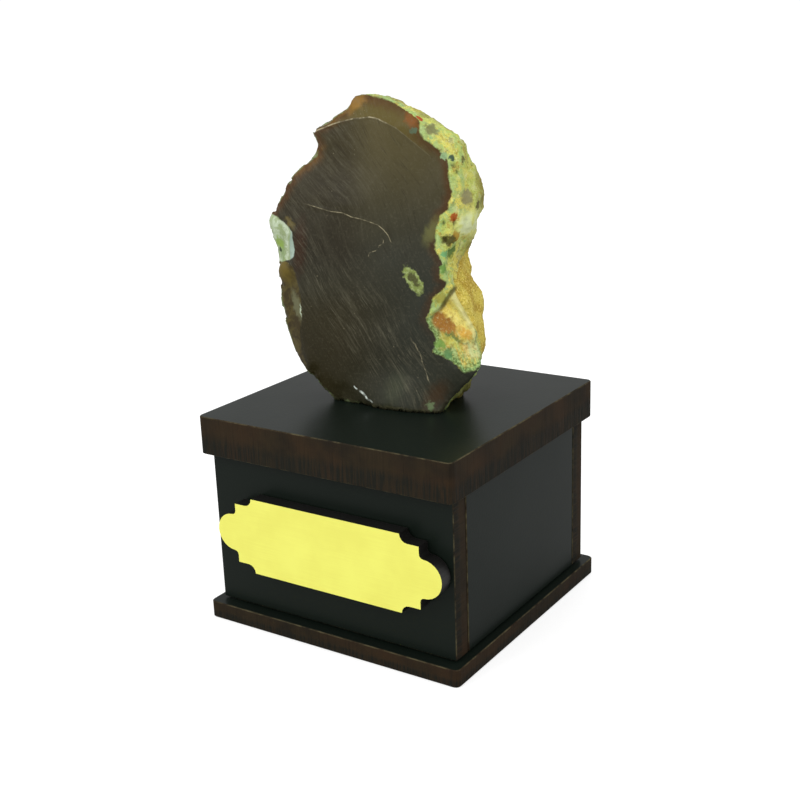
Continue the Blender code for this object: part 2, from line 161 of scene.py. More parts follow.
def add_sky():
    """Even white light from all round."""
    world = bpy.data.worlds.new("light_tent")
    world.use_nodes = True
    background = world.node_tree.nodes["Background"]
    background.inputs["Color"].default_value = (1.0, 1.0, 1.0, 1.0)
    seen_and_unseen(world.node_tree, SKY_SEEN, SKY_LIGHT, background.inputs["Strength"])
    bpy.context.scene.world = world


def add_lamp(name, place, width, power):
    """A square soft lamp that faces the stone. Its place and width are in millimetres."""
    data = bpy.data.lights.new(name, "AREA")
    data.size = width * MM
    data.energy = power
    lamp = bpy.data.objects.new(name, data)
    lamp.location = Vector(place) * MM
    lamp.rotation_mode = "QUATERNION"
    lamp.rotation_quaternion = (LAMP_AIM - lamp.location).to_track_quat("-Z", "Y")
    bpy.context.scene.collection.objects.link(lamp)


add_floor()
add_sky()
for lamp_name, lamp_facts in SOFT_LAMPS.items():
    add_lamp(lamp_name, *lamp_facts)
bpy.context.scene.view_settings.view_transform = "Standard"
print("lamps:", ", ".join(SOFT_LAMPS))

# %% [markdown]
# ## A short way to write node trees
#
# A finish here is a sum of masks, noises and colours, and wired by hand each step would take three
# lines. The small class below wraps a socket, so that Python's own operators add the Math nodes, and
# 1 - mask works as well as mask * 2. A second class holds the tree, with one method for any other
# node: its type, its settings, and the values or links of its sockets. Both serve shader trees and
# Geometry Nodes trees, because those share most of their nodes.

# %% Wrap sockets and trees


class Wire:
    """The output of a node. Arithmetic on it adds the Math node that does the sum."""

    def __init__(self, graph, socket):
        self.graph = graph
        self.socket = socket

    def __add__(self, other):
        return self.graph.maths("ADD", self, other)

    def __radd__(self, other):
        return self.graph.maths("ADD", other, self)

    def __sub__(self, other):
        return self.graph.maths("SUBTRACT", self, other)

    def __rsub__(self, other):
        return self.graph.maths("SUBTRACT", other, self)

    def __mul__(self, other):
        return self.graph.maths("MULTIPLY", self, other)

    def __rmul__(self, other):
        return self.graph.maths("MULTIPLY", other, self)

    def __truediv__(self, other):
        return self.graph.maths("DIVIDE", self, other)

    def __rtruediv__(self, other):
        return self.graph.maths("DIVIDE", other, self)

    def __pow__(self, other):
        return self.graph.maths("POWER", self, other)

    def __abs__(self):
        return self.graph.maths("ABSOLUTE", self)


class Graph:
    """A node tree, with one method that adds any kind of node to it."""

    def __init__(self, tree):
        self.tree = tree

    def node(self, kind, settings=None, sockets=None, output=0):
        """Add a node. Its settings come first, because some of them change which sockets it has."""
        made = self.tree.nodes.new(kind)
        for name, value in (settings or {}).items():
            if name == "stops":
                self.set_stops(made.color_ramp, value)
            else:
                setattr(made, name, value)
        for name, value in (sockets or {}).items():
            if isinstance(value, Wire):
                self.tree.links.new(value.socket, made.inputs[name])
            else:
                made.inputs[name].default_value = value
        return Wire(self, made.outputs[output])

    def set_stops(self, ramp, stops):
        """Give a colour ramp its stops: a place from 0 to 1 and a colour for each."""
        while len(ramp.elements) < len(stops):
            ramp.elements.new(1.0)
        for element, (place, colour) in zip(ramp.elements, stops):
            element.position = place
            element.color = colour

    def maths(self, operation, *values):
        """One Math node."""
        return self.node("ShaderNodeMath", {"operation": operation}, dict(enumerate(values)))

    def vector_maths(self, operation, first, second, output=0):
        """One Vector Math node. Its second output is a plain number, such as a distance."""
        return self.node("ShaderNodeVectorMath", {"operation": operation}, {0: first, 1: second}, output)

    def step(self, value, low, high):
        """A smooth step from 0 at the low value to 1 at the high one. Swapped ends turn it round."""
        if low > high:
            return 1 - self.step(value, high, low)
        return self.node("ShaderNodeMapRange", {"interpolation_type": "SMOOTHSTEP"},
                         {"Value": value, "From Min": low, "From Max": high})

    def noise(self, place, size, detail=2.0, roughness=0.5, output="Fac"):
        """Cloudy noise from about 0 to 1, with lumps of the given size in the place's own unit."""
        return self.node("ShaderNodeTexNoise", {},
                         {"Vector": place, "Scale": 1.0 / size, "Detail": detail, "Roughness": roughness},
                         output)

    def cells(self, place, size, feature="F1", output="Distance"):
        """Voronoi cells: the distance to the nearest of many scattered points."""
        return self.node("ShaderNodeTexVoronoi", {"feature": feature},
                         {"Vector": place, "Scale": 1.0 / size}, output)

    def mix(self, mask, colour, other):
        """The first colour where the mask is 0 and the other where it is 1."""
        return self.node("ShaderNodeMix", {"data_type": "RGBA"}, {0: mask, 6: colour, 7: other}, 2)

    def blend(self, mask, number, other):
        """The first number where the mask is 0 and the other where it is 1."""
        return self.node("ShaderNodeMix", {"data_type": "FLOAT"}, {0: mask, 2: number, 3: other})

    def parts(self, vector):
        """The three numbers of a vector."""
        return [self.node("ShaderNodeSeparateXYZ", {}, {0: vector}, axis) for axis in range(3)]

    def ramp(self, value, stops):
        """A colour for each value from 0 to 1."""
        return self.node("ShaderNodeValToRGB", {"stops": stops}, {"Fac": value})


def paint(red, green, blue):
    """A colour given as it looks on a screen, from 0 to 255, in the linear numbers that shaders use."""
    screen = [channel / 255 for channel in (red, green, blue)]
    linear = [c / 12.92 if c <= 0.04045 else ((c + 0.055) / 1.055) ** 2.4 for c in screen]
    return (*linear, 1.0)


class Finish(Graph):
    """A material whose Principled shader is fed by this graph."""

    def __init__(self, name):
        self.material = bpy.data.materials.new(name)
        self.material.use_nodes = True
        super().__init__(self.material.node_tree)
        self.shader = self.tree.nodes["Principled BSDF"]

    def places(self):
        """Where a point is on the piece, in millimetres."""
        spot = self.node("ShaderNodeTexCoord", output="Object")
        return self.vector_maths("MULTIPLY", spot, (1000.0, 1000.0, 1000.0))

    def attribute(self, name, output="Fac"):
        """A value that is kept in the points of the mesh."""
        return self.node("ShaderNodeAttribute", {"attribute_name": name}, {}, output)

    def wear(self, **sockets):
        """Feed or set the shader's sockets. An underline in a name stands for a space."""
        for name, value in sockets.items():
            socket = self.shader.inputs[name.replace("_", " ")]
            if isinstance(value, Wire):
                self.tree.links.new(value.socket, socket)
            else:
                socket.default_value = value

    def bump(self, height, depth, strength=1.0):
        """A bent normal for relief too fine to model. The depth is in millimetres."""
        relief = self.node("ShaderNodeBump", {}, {"Height": height, "Distance": depth * MM,
                                                  "Strength": strength})
        self.wear(Normal=relief)


print("one sheet of black reads", [round(channel, 4) for channel in paint(30, 30, 30)[:3]])

# %% [markdown]
# ## The boards
#
# The box is cut by laser from thin board with a black melamine face. The face is smooth and satin,
# with the faintest orange peel. A laser scorches the edge it cuts to a dark brown, and its pulses
# leave fine upright lines, deeper where the beam leaves the board. The arris is painted a little paler in
# patches.
# The imported boards have the right shape, so they stay and only get a material. It tells face
# from edge by the direction that the surface looks in, so it follows any board of any size.

# %% Make the black board with scorched edges
BOARD_BLACK = paint(19, 26, 21)
SCORCH_DARK = paint(28, 24, 17)
SCORCH_BROWN = paint(45, 36, 22)
SCORCH_RED = paint(57, 38, 22)
SCORCH_DEEP = paint(27, 27, 21)
PALE_ARRIS = paint(90, 84, 60)


def board_finish(board, axis):
    """The melamine board: axis says which way its black faces look."""
    finish = Finish(f"black_{board}")
    place = finish.places()
    parts = finish.parts(place)
    through = parts.pop(axis)
    aside, along = parts
    looks = finish.parts(finish.node("ShaderNodeTexCoord", output="Normal"))
    flatness = abs(looks[axis])
    is_face = finish.step(flatness, 0.80, 0.95)
    on_arris = finish.step(flatness, 0.25, 0.5) * (1 - is_face)

    pulses = finish.node("ShaderNodeCombineXYZ", {}, {0: (aside + along) * 2.6, 1: through * 0.16,
                                                      2: aside - along})
    lines = finish.noise(pulses, 1.0, 3.0, 0.6)
    low, high = (side[axis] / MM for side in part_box(board))
    depth = (high - through) / (high - low) + (finish.noise(place, 6.0, 2.0) - 0.5) * 0.3
    sunk = finish.step(depth, 0.42, 0.68)
    smoke = finish.noise(place, 5.0, 3.0, 0.6)
    tint = finish.noise(place, 11.0, 2.0)
    scorched = finish.mix(finish.step(smoke, 0.15, 0.7), SCORCH_DARK, SCORCH_BROWN)
    scorched = finish.mix(finish.step(tint, 0.4, 0.8) * 0.7, scorched, SCORCH_RED)
    scorched = finish.mix(finish.step(lines, 0.52, 0.72) * 0.45, scorched, SCORCH_DARK)
    scorched = finish.mix(sunk * (0.3 + finish.step(lines, 0.40, 0.60) * 0.7), scorched, SCORCH_DEEP)
    # The arris is painted a little paler in patches.
    paler_places = finish.step(finish.noise(place, 2.5, 3.0, 0.7), 0.35, 0.7)
    edge = finish.mix(on_arris * paler_places * 0.8, scorched, PALE_ARRIS)

    haze = finish.noise(place, 14.0, 2.0)
    peel = finish.noise(place, 0.35, 1.0)
    finish.wear(Base_Color=finish.mix(is_face, edge, BOARD_BLACK),
                Roughness=is_face * (0.30 + haze * 0.08) + (1 - is_face) * (0.62 + lines * 0.2))
    finish.wear(Specular_IOR_Level=0.12)
    finish.bump(is_face * peel * 0.12 + (1 - is_face) * lines * (0.6 + sunk), 0.09)
    return finish.material


def dress(node, material):
    """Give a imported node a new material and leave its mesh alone."""
    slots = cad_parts[node].data.materials
    slots.clear()
    slots.append(material)


BOARD_AXES = {
    "top_board": 2, "base_board": 2, "front_panel": 1, "back_panel": 1,
    "left_side_panel": 0, "right_side_panel": 0,
}
for board_name, board_axis in BOARD_AXES.items():
    dress(board_name, board_finish(board_name, board_axis))
print("boards dressed:", len(BOARD_AXES))

# %% [markdown]
# ## The nameplate
#
# The plate is thick black acrylic under a thin golden film, and the laser cuts through both, so
# the front is pale gold and the sides are black. Its face is left bare. The film is smooth, with a very
# faint brushed grain.

# %% Make the golden plate
PLATE_GOLD = paint(249, 248, 112)
PLATE_GOLD_DEEP = paint(242, 239, 104)
PLATE_SIDE = paint(14, 13, 11)


def nameplate_finish():
    """Gold where the plate looks forward, and black acrylic at its cut sides."""
    finish = Finish("golden_plate")
    place = finish.places()
    x, _, z = finish.parts(place)
    looks = finish.parts(finish.node("ShaderNodeTexCoord", output="Normal"))
    is_front = finish.step(0 - looks[1], 0.7, 0.9)
    brushed = finish.noise(finish.node("ShaderNodeCombineXYZ", {}, {0: x * 0.12, 2: z * 6.0}), 1.0, 3.0)
    cloud = finish.noise(place, 7.0, 3.0)
    gold = finish.mix(finish.step(cloud * 0.7 + brushed * 0.3, 0.35, 0.65), PLATE_GOLD, PLATE_GOLD_DEEP)
    finish.wear(Base_Color=finish.mix(is_front, PLATE_SIDE, gold),
                Roughness=is_front * (0.34 + brushed * 0.1) + (1 - is_front) * 0.45)
    finish.bump(brushed * is_front, 0.01)
    return finish.material


dress("nameplate", nameplate_finish())

# %% [markdown]
# ## The stone's own frame
#
# The stone stands turned and leans back a little, so its features are measured in its own frame: across
# the broken face, back from it, and up, in millimetres. Marks are read off the photograph as pixels.
# A ray from the camera finds where each one lies on the stone, and the other way round, every point
# of the stone can be told which pixel it would fill.

# %% Measure in the stone's frame and in the photograph
STONE_YAW = math.radians(9.1)
STONE_LEAN = math.radians(6.0)
STONE_ACROSS = 1.5
STONE_BEHIND_FRONT = 16.6

stone_turn = Euler((-STONE_LEAN, 0.0, STONE_YAW))
stone_foot = Vector((STONE_ACROSS * MM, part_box("front_panel")[0].y + STONE_BEHIND_FRONT * MM,
                     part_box("top_board")[1].z))
stone_to_world = Matrix.LocRotScale(stone_foot, stone_turn, Vector((MM, MM, MM)))
world_to_stone = stone_to_world.inverted()
PIXELS_PER_SLOPE = LENS / SENSOR * PHOTO_SIZE
PIXELS_PER_MM = 5.3


def pixel_ray(pixel):
    """The direction in which the camera sees a pixel of the photograph."""
    sideways = (pixel[0] - PHOTO_SIZE / 2 + SHIFT_X * PHOTO_SIZE) / PIXELS_PER_SLOPE
    upwards = (PHOTO_SIZE / 2 - pixel[1] + SHIFT_Y * PHOTO_SIZE) / PIXELS_PER_SLOPE
    return (camera_turn @ Vector((sideways, upwards, -1.0))).normalized()


def pixels_of(places):
    """The pixels that points in the world fill, as an array of two columns."""
    seen = (places - np.array(CAMERA_PLACE)) @ np.array(camera_turn)
    across = PHOTO_SIZE / 2 - SHIFT_X * PHOTO_SIZE - PIXELS_PER_SLOPE * seen[:, 0] / seen[:, 2]
    down = PHOTO_SIZE / 2 + SHIFT_Y * PHOTO_SIZE + PIXELS_PER_SLOPE * seen[:, 1] / seen[:, 2]
    return np.stack([across, down], axis=1)


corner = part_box("top_board")[1]
print("the stone's foot is at", [round(side / MM, 2) for side in stone_foot])
print("a corner of the top board is at pixel", pixels_of(np.array([corner]))[0].round(1))

# %% [markdown]
# ## The stone's mesh
#
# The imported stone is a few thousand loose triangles. They are merged into a closed copy, smoothed once
# by subdivision with its sharp rims creased, and then cut up again into even squares by a voxel remesh.
# Sculpting by hand could give the same surface, but even squares let noise push it about in code, with
# the same detail on every side.

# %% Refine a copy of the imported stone
MERGE_WITHIN = 0.001 * MM
CREASE_FROM = math.radians(34)
CREASE_TO = math.radians(130)
CORNER_TURN = math.radians(24)
EDGE_CREASE = 0.85
CORNER_CREASE = 0.9
VOXEL = 0.33 * MM


def closed_copy(node):
    """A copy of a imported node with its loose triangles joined."""
    joined = bmesh.new()
    joined.from_mesh(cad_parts[node].data)
    bmesh.ops.remove_doubles(joined, verts=joined.verts, dist=MERGE_WITHIN)
    return joined


def keep_creases(joined):
    """Mark the sharp edges, and the corners where a sharp edge turns."""
    crease = joined.edges.layers.float.new("crease_edge")
    corner = joined.verts.layers.float.new("crease_vert")
    for edge in joined.edges:
        if CREASE_FROM < edge.calc_face_angle(0.0) < CREASE_TO:
            edge[crease] = EDGE_CREASE
    for vertex in joined.verts:
        sharp = [edge.other_vert(vertex).co - vertex.co for edge in vertex.link_edges if edge[crease] > 0]
        if len(sharp) == 2 and sharp[0].angle(sharp[1]) < math.pi - CORNER_TURN:
            vertex[corner] = CORNER_CREASE


def even_mesh(joined, name):
    """Smooth a closed mesh and cut it into even squares."""
    keep_creases(joined)
    rough = bpy.data.objects.new(name, bpy.data.meshes.new(name))
    joined.to_mesh(rough.data)
    joined.free()
    bpy.context.scene.collection.objects.link(rough)
    smooth = rough.modifiers.new("smooth", "SUBSURF")
    smooth.levels = 1
    smooth.render_levels = 1
    squares = rough.modifiers.new("squares", "REMESH")
    squares.mode = "VOXEL"
    squares.voxel_size = VOXEL
    evaluated = rough.evaluated_get(bpy.context.evaluated_depsgraph_get())
    mesh = bpy.data.meshes.new_from_object(evaluated)
    bpy.data.objects.remove(rough)
    return mesh


packed_stone = closed_copy("agate")
stone_tree = BVHTree.FromBMesh(packed_stone)
stone_mesh = even_mesh(packed_stone.copy(), "agate_squares")
print("even squares:", len(stone_mesh.polygons))

# %% [markdown]
# ## Where the broken face ends
#
# The face and the crust meet at a rim. The face's triangles are found by spreading out from its middle
# over everything that looks forward, and the rim is where that spreading stops. Each point of the new
# mesh then keeps how far it is from the rim: below 0 on the face, and above 0 on the side and back.

# %% Find the rim
FACE_MIDDLE = (330, 250)
FORWARD = 0.5


def triangles_of_face(joined):
    """The numbers of the triangles that belong to the broken face."""
    joined.faces.ensure_lookup_table()
    forward = stone_turn.to_matrix() @ Vector((0.0, -1.0, 0.0))
    first = stone_tree.ray_cast(CAMERA_PLACE, pixel_ray(FACE_MIDDLE))[2]
    found = {first}
    waiting = [joined.faces[first]]
    while waiting:
        triangle = waiting.pop()
        for edge in triangle.edges:
            for other in edge.link_faces:
                if other.index not in found and other.normal.dot(forward) > FORWARD:
                    found.add(other.index)
                    waiting.append(other)
    return found


def rim_points(joined, face):
    """Points every third of a millimetre along the rim of the face."""
    points = []
    for edge in joined.edges:
        if len({triangle.index in face for triangle in edge.link_faces}) == 2:
            start, end = (vertex.co for vertex in edge.verts)
            pieces = max(1, round((end - start).length / (MM / 3)))
            points += [start.lerp(end, piece / pieces) for piece in range(pieces)]
    return points


def reach_from_rim(mesh, joined):
    """For each point, its distance from the rim in millimetres, below 0 on the face."""
    face = triangles_of_face(joined)
    points = rim_points(joined, face)
    tree = KDTree(len(points))
    for index, point in enumerate(points):
        tree.insert(point, index)
    tree.balance()
    reach = np.empty(len(mesh.vertices))
    for index, vertex in enumerate(mesh.vertices):
        distance = tree.find(vertex.co)[2] / MM
        on_face = stone_tree.find_nearest(vertex.co)[2] in face
        reach[index] = -distance if on_face else distance
    return reach


rim_reach = reach_from_rim(stone_mesh, packed_stone)
print("points on the face:", int((rim_reach < 0).sum()), "of", len(rim_reach))

# %% [markdown]
# ## The borders and lines on the stone
#
# Some borders lie across the face and follow no rim: where the crust begins, the low facet, the pale
# chip, two curved hairlines. Each is a short run of pixels, and each point of the mesh keeps how far it
# is from it. Such a signed distance stays true between the points, so the material can draw a line from
# it that is much finer than the squares of the mesh.

# %% Measure the distance to each border
CRUST_BORDER = [
    (360, 93), (372, 96), (384, 99), (400, 105), (411, 111), (417, 116), (420, 122), (419, 131),
    (424, 139), (433, 145), (441, 151), (448, 162), (449, 180), (452, 192), (449, 201), (448, 210),
    (441, 215), (436, 228), (435, 250), (440, 258), (443, 265), (439, 271), (440, 278), (447, 282),
    (445, 288), (433, 299), (431, 307), (426, 320), (429, 327), (435, 335), (436, 345), (432, 352),
    (441, 356), (450, 360), (457, 366), (464, 373), (474, 371), (482, 364), (492, 358),
]
SKIN_BORDER = [
    (480, 238), (465, 252), (459, 262), (457, 275), (455, 287), (456, 296), (463, 307), (470, 320),
    (477, 333), (481, 345), (485, 362),
]
CRACK_LINE = [(456, 286), (452, 292), (447, 299), (441, 309), (431, 316), (420, 322)]
CHIP_BORDER = [
    (262, 210), (270, 213), (278, 216), (284, 222), (288, 226), (292, 232), (293, 240), (295, 250),
    (294, 257), (290, 260), (284, 262), (274, 260),
]
MILK_BORDER = [(287, 218), (288, 226), (290, 233), (289, 240), (289, 250), (290, 262)]
LOW_LEFT_BORDER = [
    (280, 259), (288, 261), (294, 268), (297, 279), (301, 297), (302, 317), (300, 333), (302, 350),
    (306, 364), (312, 380),
]
BAND_LINE = [
    (308, 135), (318, 130), (328, 126), (336, 123), (344, 121), (352, 119), (362, 118), (370, 117),
    (378, 119), (386, 123), (396, 128), (406, 136), (418, 146), (430, 156),
]
STEP_LINE = [
    (306, 204), (316, 207), (329, 211), (343, 213), (352, 217), (361, 219), (370, 222), (378, 225),
    (384, 230), (388, 235), (391, 242),
]
CURL_LINE = [(383, 239), (384, 243), (379, 246), (376, 251), (369, 253), (368, 259)]
SCAR_LINE = [(410, 338), (416, 346), (421, 356), (424, 366), (427, 376), (430, 384)]
GLINT_LINE = [(360, 391), (364, 394), (367, 399), (372, 402)]
LINES = {
    "crust_reach": CRUST_BORDER, "skin_reach": SKIN_BORDER, "crack_reach": CRACK_LINE,
    "chip_reach": CHIP_BORDER, "low_left_reach": LOW_LEFT_BORDER, "band_reach": BAND_LINE,
    "step_reach": STEP_LINE, "glint_reach": GLINT_LINE, "curl_reach": CURL_LINE, "scar_reach": SCAR_LINE,
    "milk_reach": MILK_BORDER,
}


def line_reach(pixels, line):
    """Distance to a run of pixels, in millimetres: above 0 on its left as it runs, below on its right.

    The second column is how far a point lies inside the ends of the run, below 0 beyond them."""
    corners = np.array(line, float)
    lengths = np.linalg.norm(np.diff(corners, axis=0), axis=1)
    best = np.full(len(pixels), 1e9)
    side = np.zeros(len(pixels))
    along = np.zeros(len(pixels))
    travelled = 0.0
    for start, end, length in zip(corners[:-1], corners[1:], lengths):
        direction = (end - start) / length
        offset = pixels - start
        share = offset @ direction
        nearest = start + np.clip(share, 0.0, length)[:, None] * direction
        distance = np.linalg.norm(pixels - nearest, axis=1)
        cross = offset[:, 0] * direction[1] - offset[:, 1] * direction[0]
        closer = (distance < best - 1e-6) | ((distance < best + 1e-6) & (abs(cross) > abs(side)))
        best = np.where(closer, distance, best)
        side = np.where(closer, cross, side)
        along = np.where(closer, travelled + share, along)
        travelled += length
    inside_ends = np.minimum(along, travelled - along)
    return np.stack([best * np.sign(side), inside_ends], axis=1) / PIXELS_PER_MM


world_points = np.array([vertex.co for vertex in stone_mesh.vertices])
stone_pixels = pixels_of(world_points)
reaches = {name: line_reach(stone_pixels, line) for name, line in LINES.items()}
print("lines measured:", ", ".join(reaches))

# %% [markdown]
# The crust covers the whole side and back, and on the face only what lies past its border. On the thin
# left side the break goes deeper, so a strip of bare brown stone shows there before the crust begins.

# %% Join the rim and the crust's border
BARE_STRIP = 1.6


def smooth_step(value, low, high):
    """The same smooth step as in the node trees, for arrays."""
    share = np.clip((value - low) / (high - low), 0.0, 1.0)
    return share * share * (3 - 2 * share)


stone_points = np.array([world_to_stone @ vertex.co for vertex in stone_mesh.vertices])
leftness = smooth_step(-stone_points[:, 0], 2.0, 12.0)
lowness = smooth_step(-stone_points[:, 2], -7.0, -2.0)
crust_behind_rim = rim_reach - BARE_STRIP * np.maximum(leftness, lowness)
crust_on_face = reaches["crust_reach"][:, 0]
crust_reach = np.where(rim_reach > 0, np.maximum(crust_behind_rim, np.minimum(crust_on_face, 1.0)),
                       crust_on_face)
crust_reach = np.where(rim_reach < 0, np.minimum(crust_reach, 12.0), crust_reach)
print("share in crust:", round(float((crust_reach > 0).mean()), 2))

# %% [markdown]
# An attribute is a number kept in each point of a mesh. Geometry Nodes and materials can both read it
# by its name, so the distances are measured once here and used by both.

# %% Keep the distances in the mesh


def keep_values(mesh, name, values):
    """Store one number for each point of a mesh."""
    mesh.attributes.new(name, "FLOAT", "POINT").data.foreach_set("value", values.astype(np.float32))


keep_values(stone_mesh, "rim_reach", rim_reach)
for reach_name, reach in reaches.items():
    keep_values(stone_mesh, reach_name, crust_reach if reach_name == "crust_reach" else reach[:, 0])
for line_name in ("band", "step", "glint", "crack", "curl", "scar"):
    keep_values(stone_mesh, f"{line_name}_ends", reaches[f"{line_name}_reach"][:, 1])
print("attributes:", len(stone_mesh.attributes))

# %% [markdown]
# ## The crust's relief
#
# Crust grew as small lumps, knobs and pits all over the nodule, and the broken face has low ripples
# and a shallow ledge along each hairline. This is a shape that follows rules, so Geometry Nodes make
# it: noise moves each point along its normal, by an amount that depends on the distances kept above.
# A small class makes the tree, whose inputs hold the sizes in millimetres.

# %% Build the relief tree
RELIEF_SIZES = {
    "Lump size": 1.6, "Lump height": 0.38, "Knob size": 0.75, "Knob height": 0.17,
    "Pit size": 1.9, "Pit depth": 0.5, "Grain size": 0.42, "Grain height": 0.16,
    "Ripple height": 0.05, "Ledge height": 0.1, "Flake size": 1.3, "Flake depth": 0.14,
    "Swell size": 6.0, "Swell height": 0.5, "Chip lobe": 0.75, "Amber lobe": 0.9, "Seed": 3.0,
}


class Shaper(Graph):
    """A Geometry Nodes tree with a mesh in and a mesh out."""

    def __init__(self, name, sizes):
        super().__init__(bpy.data.node_groups.new(name, "GeometryNodeTree"))
        sides = self.tree.interface
        sides.new_socket("Mesh", in_out="INPUT", socket_type="NodeSocketGeometry")
        for size in sizes:
            sides.new_socket(size, in_out="INPUT", socket_type="NodeSocketFloat")
        sides.new_socket("Finish", in_out="INPUT", socket_type="NodeSocketMaterial")
        sides.new_socket("Mesh", in_out="OUTPUT", socket_type="NodeSocketGeometry")
        self.start = self.tree.nodes.new("NodeGroupInput")
        self.end = self.tree.nodes.new("NodeGroupOutput")

    def given(self, name):
        """One of the tree's inputs."""
        return Wire(self, self.start.outputs[name])

    def kept(self, name):
        """A number kept in the points of the mesh."""
        return self.node("GeometryNodeInputNamedAttribute", {"data_type": "FLOAT"}, {"Name": name})

    def sized_noise(self, place, size, detail=2.0):
        """Noise between about -1 and 1, whose lumps have the size that an input gives."""
        cloud = self.node("ShaderNodeTexNoise", {"noise_dimensions": "4D"},
                          {"Vector": place, "W": self.given("Seed"), "Scale": 1 / size, "Detail": detail})
        return (cloud - 0.5) * 2.6


print("relief sizes:", len(RELIEF_SIZES))

# %% [markdown]
# The golden skin is finer than the rest of the crust, so its lumps are lower. Small chips break up the
# rim of the face, slow swells shape the back, and two lobes at the left, by the pale chip and below it,
# bring the thin edge out. The height of the fine relief is kept, so that the material can paint shade in
# the pits and highlight on the lumps.

# %% Write the rules of the relief
LOBES = {"Chip lobe": ((276, 227), 3.4), "Amber lobe": ((285, 272), 3.2)}


def seen_place(pixel):
    """Where in the world the camera sees a pixel of the stone."""
    return stone_tree.ray_cast(CAMERA_PLACE, pixel_ray(pixel))[0]


def relief_height(shape, place):
    """How far each point of the stone moves out, in millimetres."""
    crust = shape.step(shape.kept("crust_reach"), -0.2, 0.9)
    skin = shape.step(shape.kept("skin_reach"), -0.2, 0.6) * crust
    lumps = shape.sized_noise(place, shape.given("Lump size")) * shape.given("Lump height")
    knobs = shape.sized_noise(place, shape.given("Knob size"), 1.0) * shape.given("Knob height")
    swirl = shape.node("ShaderNodeTexNoise", {}, {"Vector": place, "Scale": 0.8, "Detail": 3.0}, "Color")
    bent = shape.vector_maths("ADD", place, shape.vector_maths("MULTIPLY", swirl, (2.4, 2.4, 2.4)))
    cell = shape.node("ShaderNodeTexVoronoi", {}, {"Vector": bent, "Scale": 1 / shape.given("Pit size")})
    pitted = shape.step(shape.sized_noise(place, 5.0), -0.3, 0.5)
    pits = shape.step(cell, 0.42, 0.10) * pitted * shape.given("Pit depth")
    grains = shape.sized_noise(place, shape.given("Grain size"), 1.0) * shape.given("Grain height")
    rough = (lumps + knobs - pits) * (1 - skin * 0.65) + grains * (0.35 + skin * 0.65)

    ripple = shape.sized_noise(place, 2.2) * shape.given("Ripple height")
    band = shape.kept("band_reach")
    step = shape.kept("step_reach")
    band_lip = shape.step(abs(band), 0.45, 0.0) * shape.step(shape.kept("band_ends"), 0.5, 5.0)
    step_lip = shape.step(abs(step), 0.4, 0.0) * shape.step(shape.kept("step_ends"), -0.5, 0.8)
    face = ripple + (band_lip + step_lip) * shape.given("Ledge height")
    flake_scale = 1 / shape.given("Flake size")
    flake = shape.node("ShaderNodeTexVoronoi", {}, {"Vector": place, "Scale": flake_scale}, "Color")
    near_rim = shape.step(abs(shape.kept("rim_reach")), 1.1, 0.2) * (1 - crust)
    x, _, z = shape.parts(place)
    thin_side = shape.step(x, -5.0, -12.0) * shape.step(z, 41.0, 46.0)
    flake_depth = shape.given("Flake depth") * (1 + thin_side * 1.6)
    chipped = shape.step(flake, 0.45, 0.75) * near_rim * flake_depth
    return rough * crust + face * (1 - crust) - chipped


def build_relief_tree():
    """Move the points, keep how far they moved, and give the mesh its material."""
    shape = Shaper("stone_relief", RELIEF_SIZES)
    spot = shape.node("GeometryNodeInputPosition")
    place = shape.vector_maths("MULTIPLY", spot, (1000.0, 1000.0, 1000.0))
    height = relief_height(shape, place)
    kept = shape.node("GeometryNodeStoreNamedAttribute", {"data_type": "FLOAT", "domain": "POINT"},
                      {"Geometry": shape.given("Mesh"), "Name": "relief", "Value": height})
    normal = shape.node("GeometryNodeInputNormal")
    far_round = shape.step(shape.kept("crust_reach"), 3.0, 8.0) * shape.given("Swell height")
    swell = shape.sized_noise(place, shape.given("Swell size"), 1.0) * far_round
    form = height + swell
    for lobe, (pixel, radius) in LOBES.items():
        distance = shape.vector_maths("DISTANCE", place, seen_place(pixel) / MM, 1)
        form = form + shape.step(distance, radius, 0.4) * shape.given(lobe)
    push = shape.node("ShaderNodeVectorMath", {"operation": "SCALE"}, {0: normal, "Scale": form * MM})
    moved = shape.node("GeometryNodeSetPosition", {}, {"Geometry": kept, "Offset": push})
    real = shape.node("GeometryNodeRealizeInstances", {}, {"Geometry": moved})
    dressed = shape.node("GeometryNodeSetMaterial", {},
                         {"Geometry": real, "Material": shape.given("Finish")})
    shape.tree.links.new(dressed.socket, shape.end.inputs["Mesh"])
    return shape.tree


relief_tree = build_relief_tree()
print("relief nodes:", len(relief_tree.nodes))

# %% [markdown]
# ## The stone's finish
#
# One material covers the whole stone, because its parts run into each other. It is painted in layers,
# each with its own function: the dark translucent agate of the face, the crust, the golden skin and
# the striped facet at the lower right, and the pale chip at the left. The kept distances say where a
# layer begins, and noise is added to them first, so that no border is straight. Single marks have a
# place that is read off the photograph, a radius in millimetres and a colour.

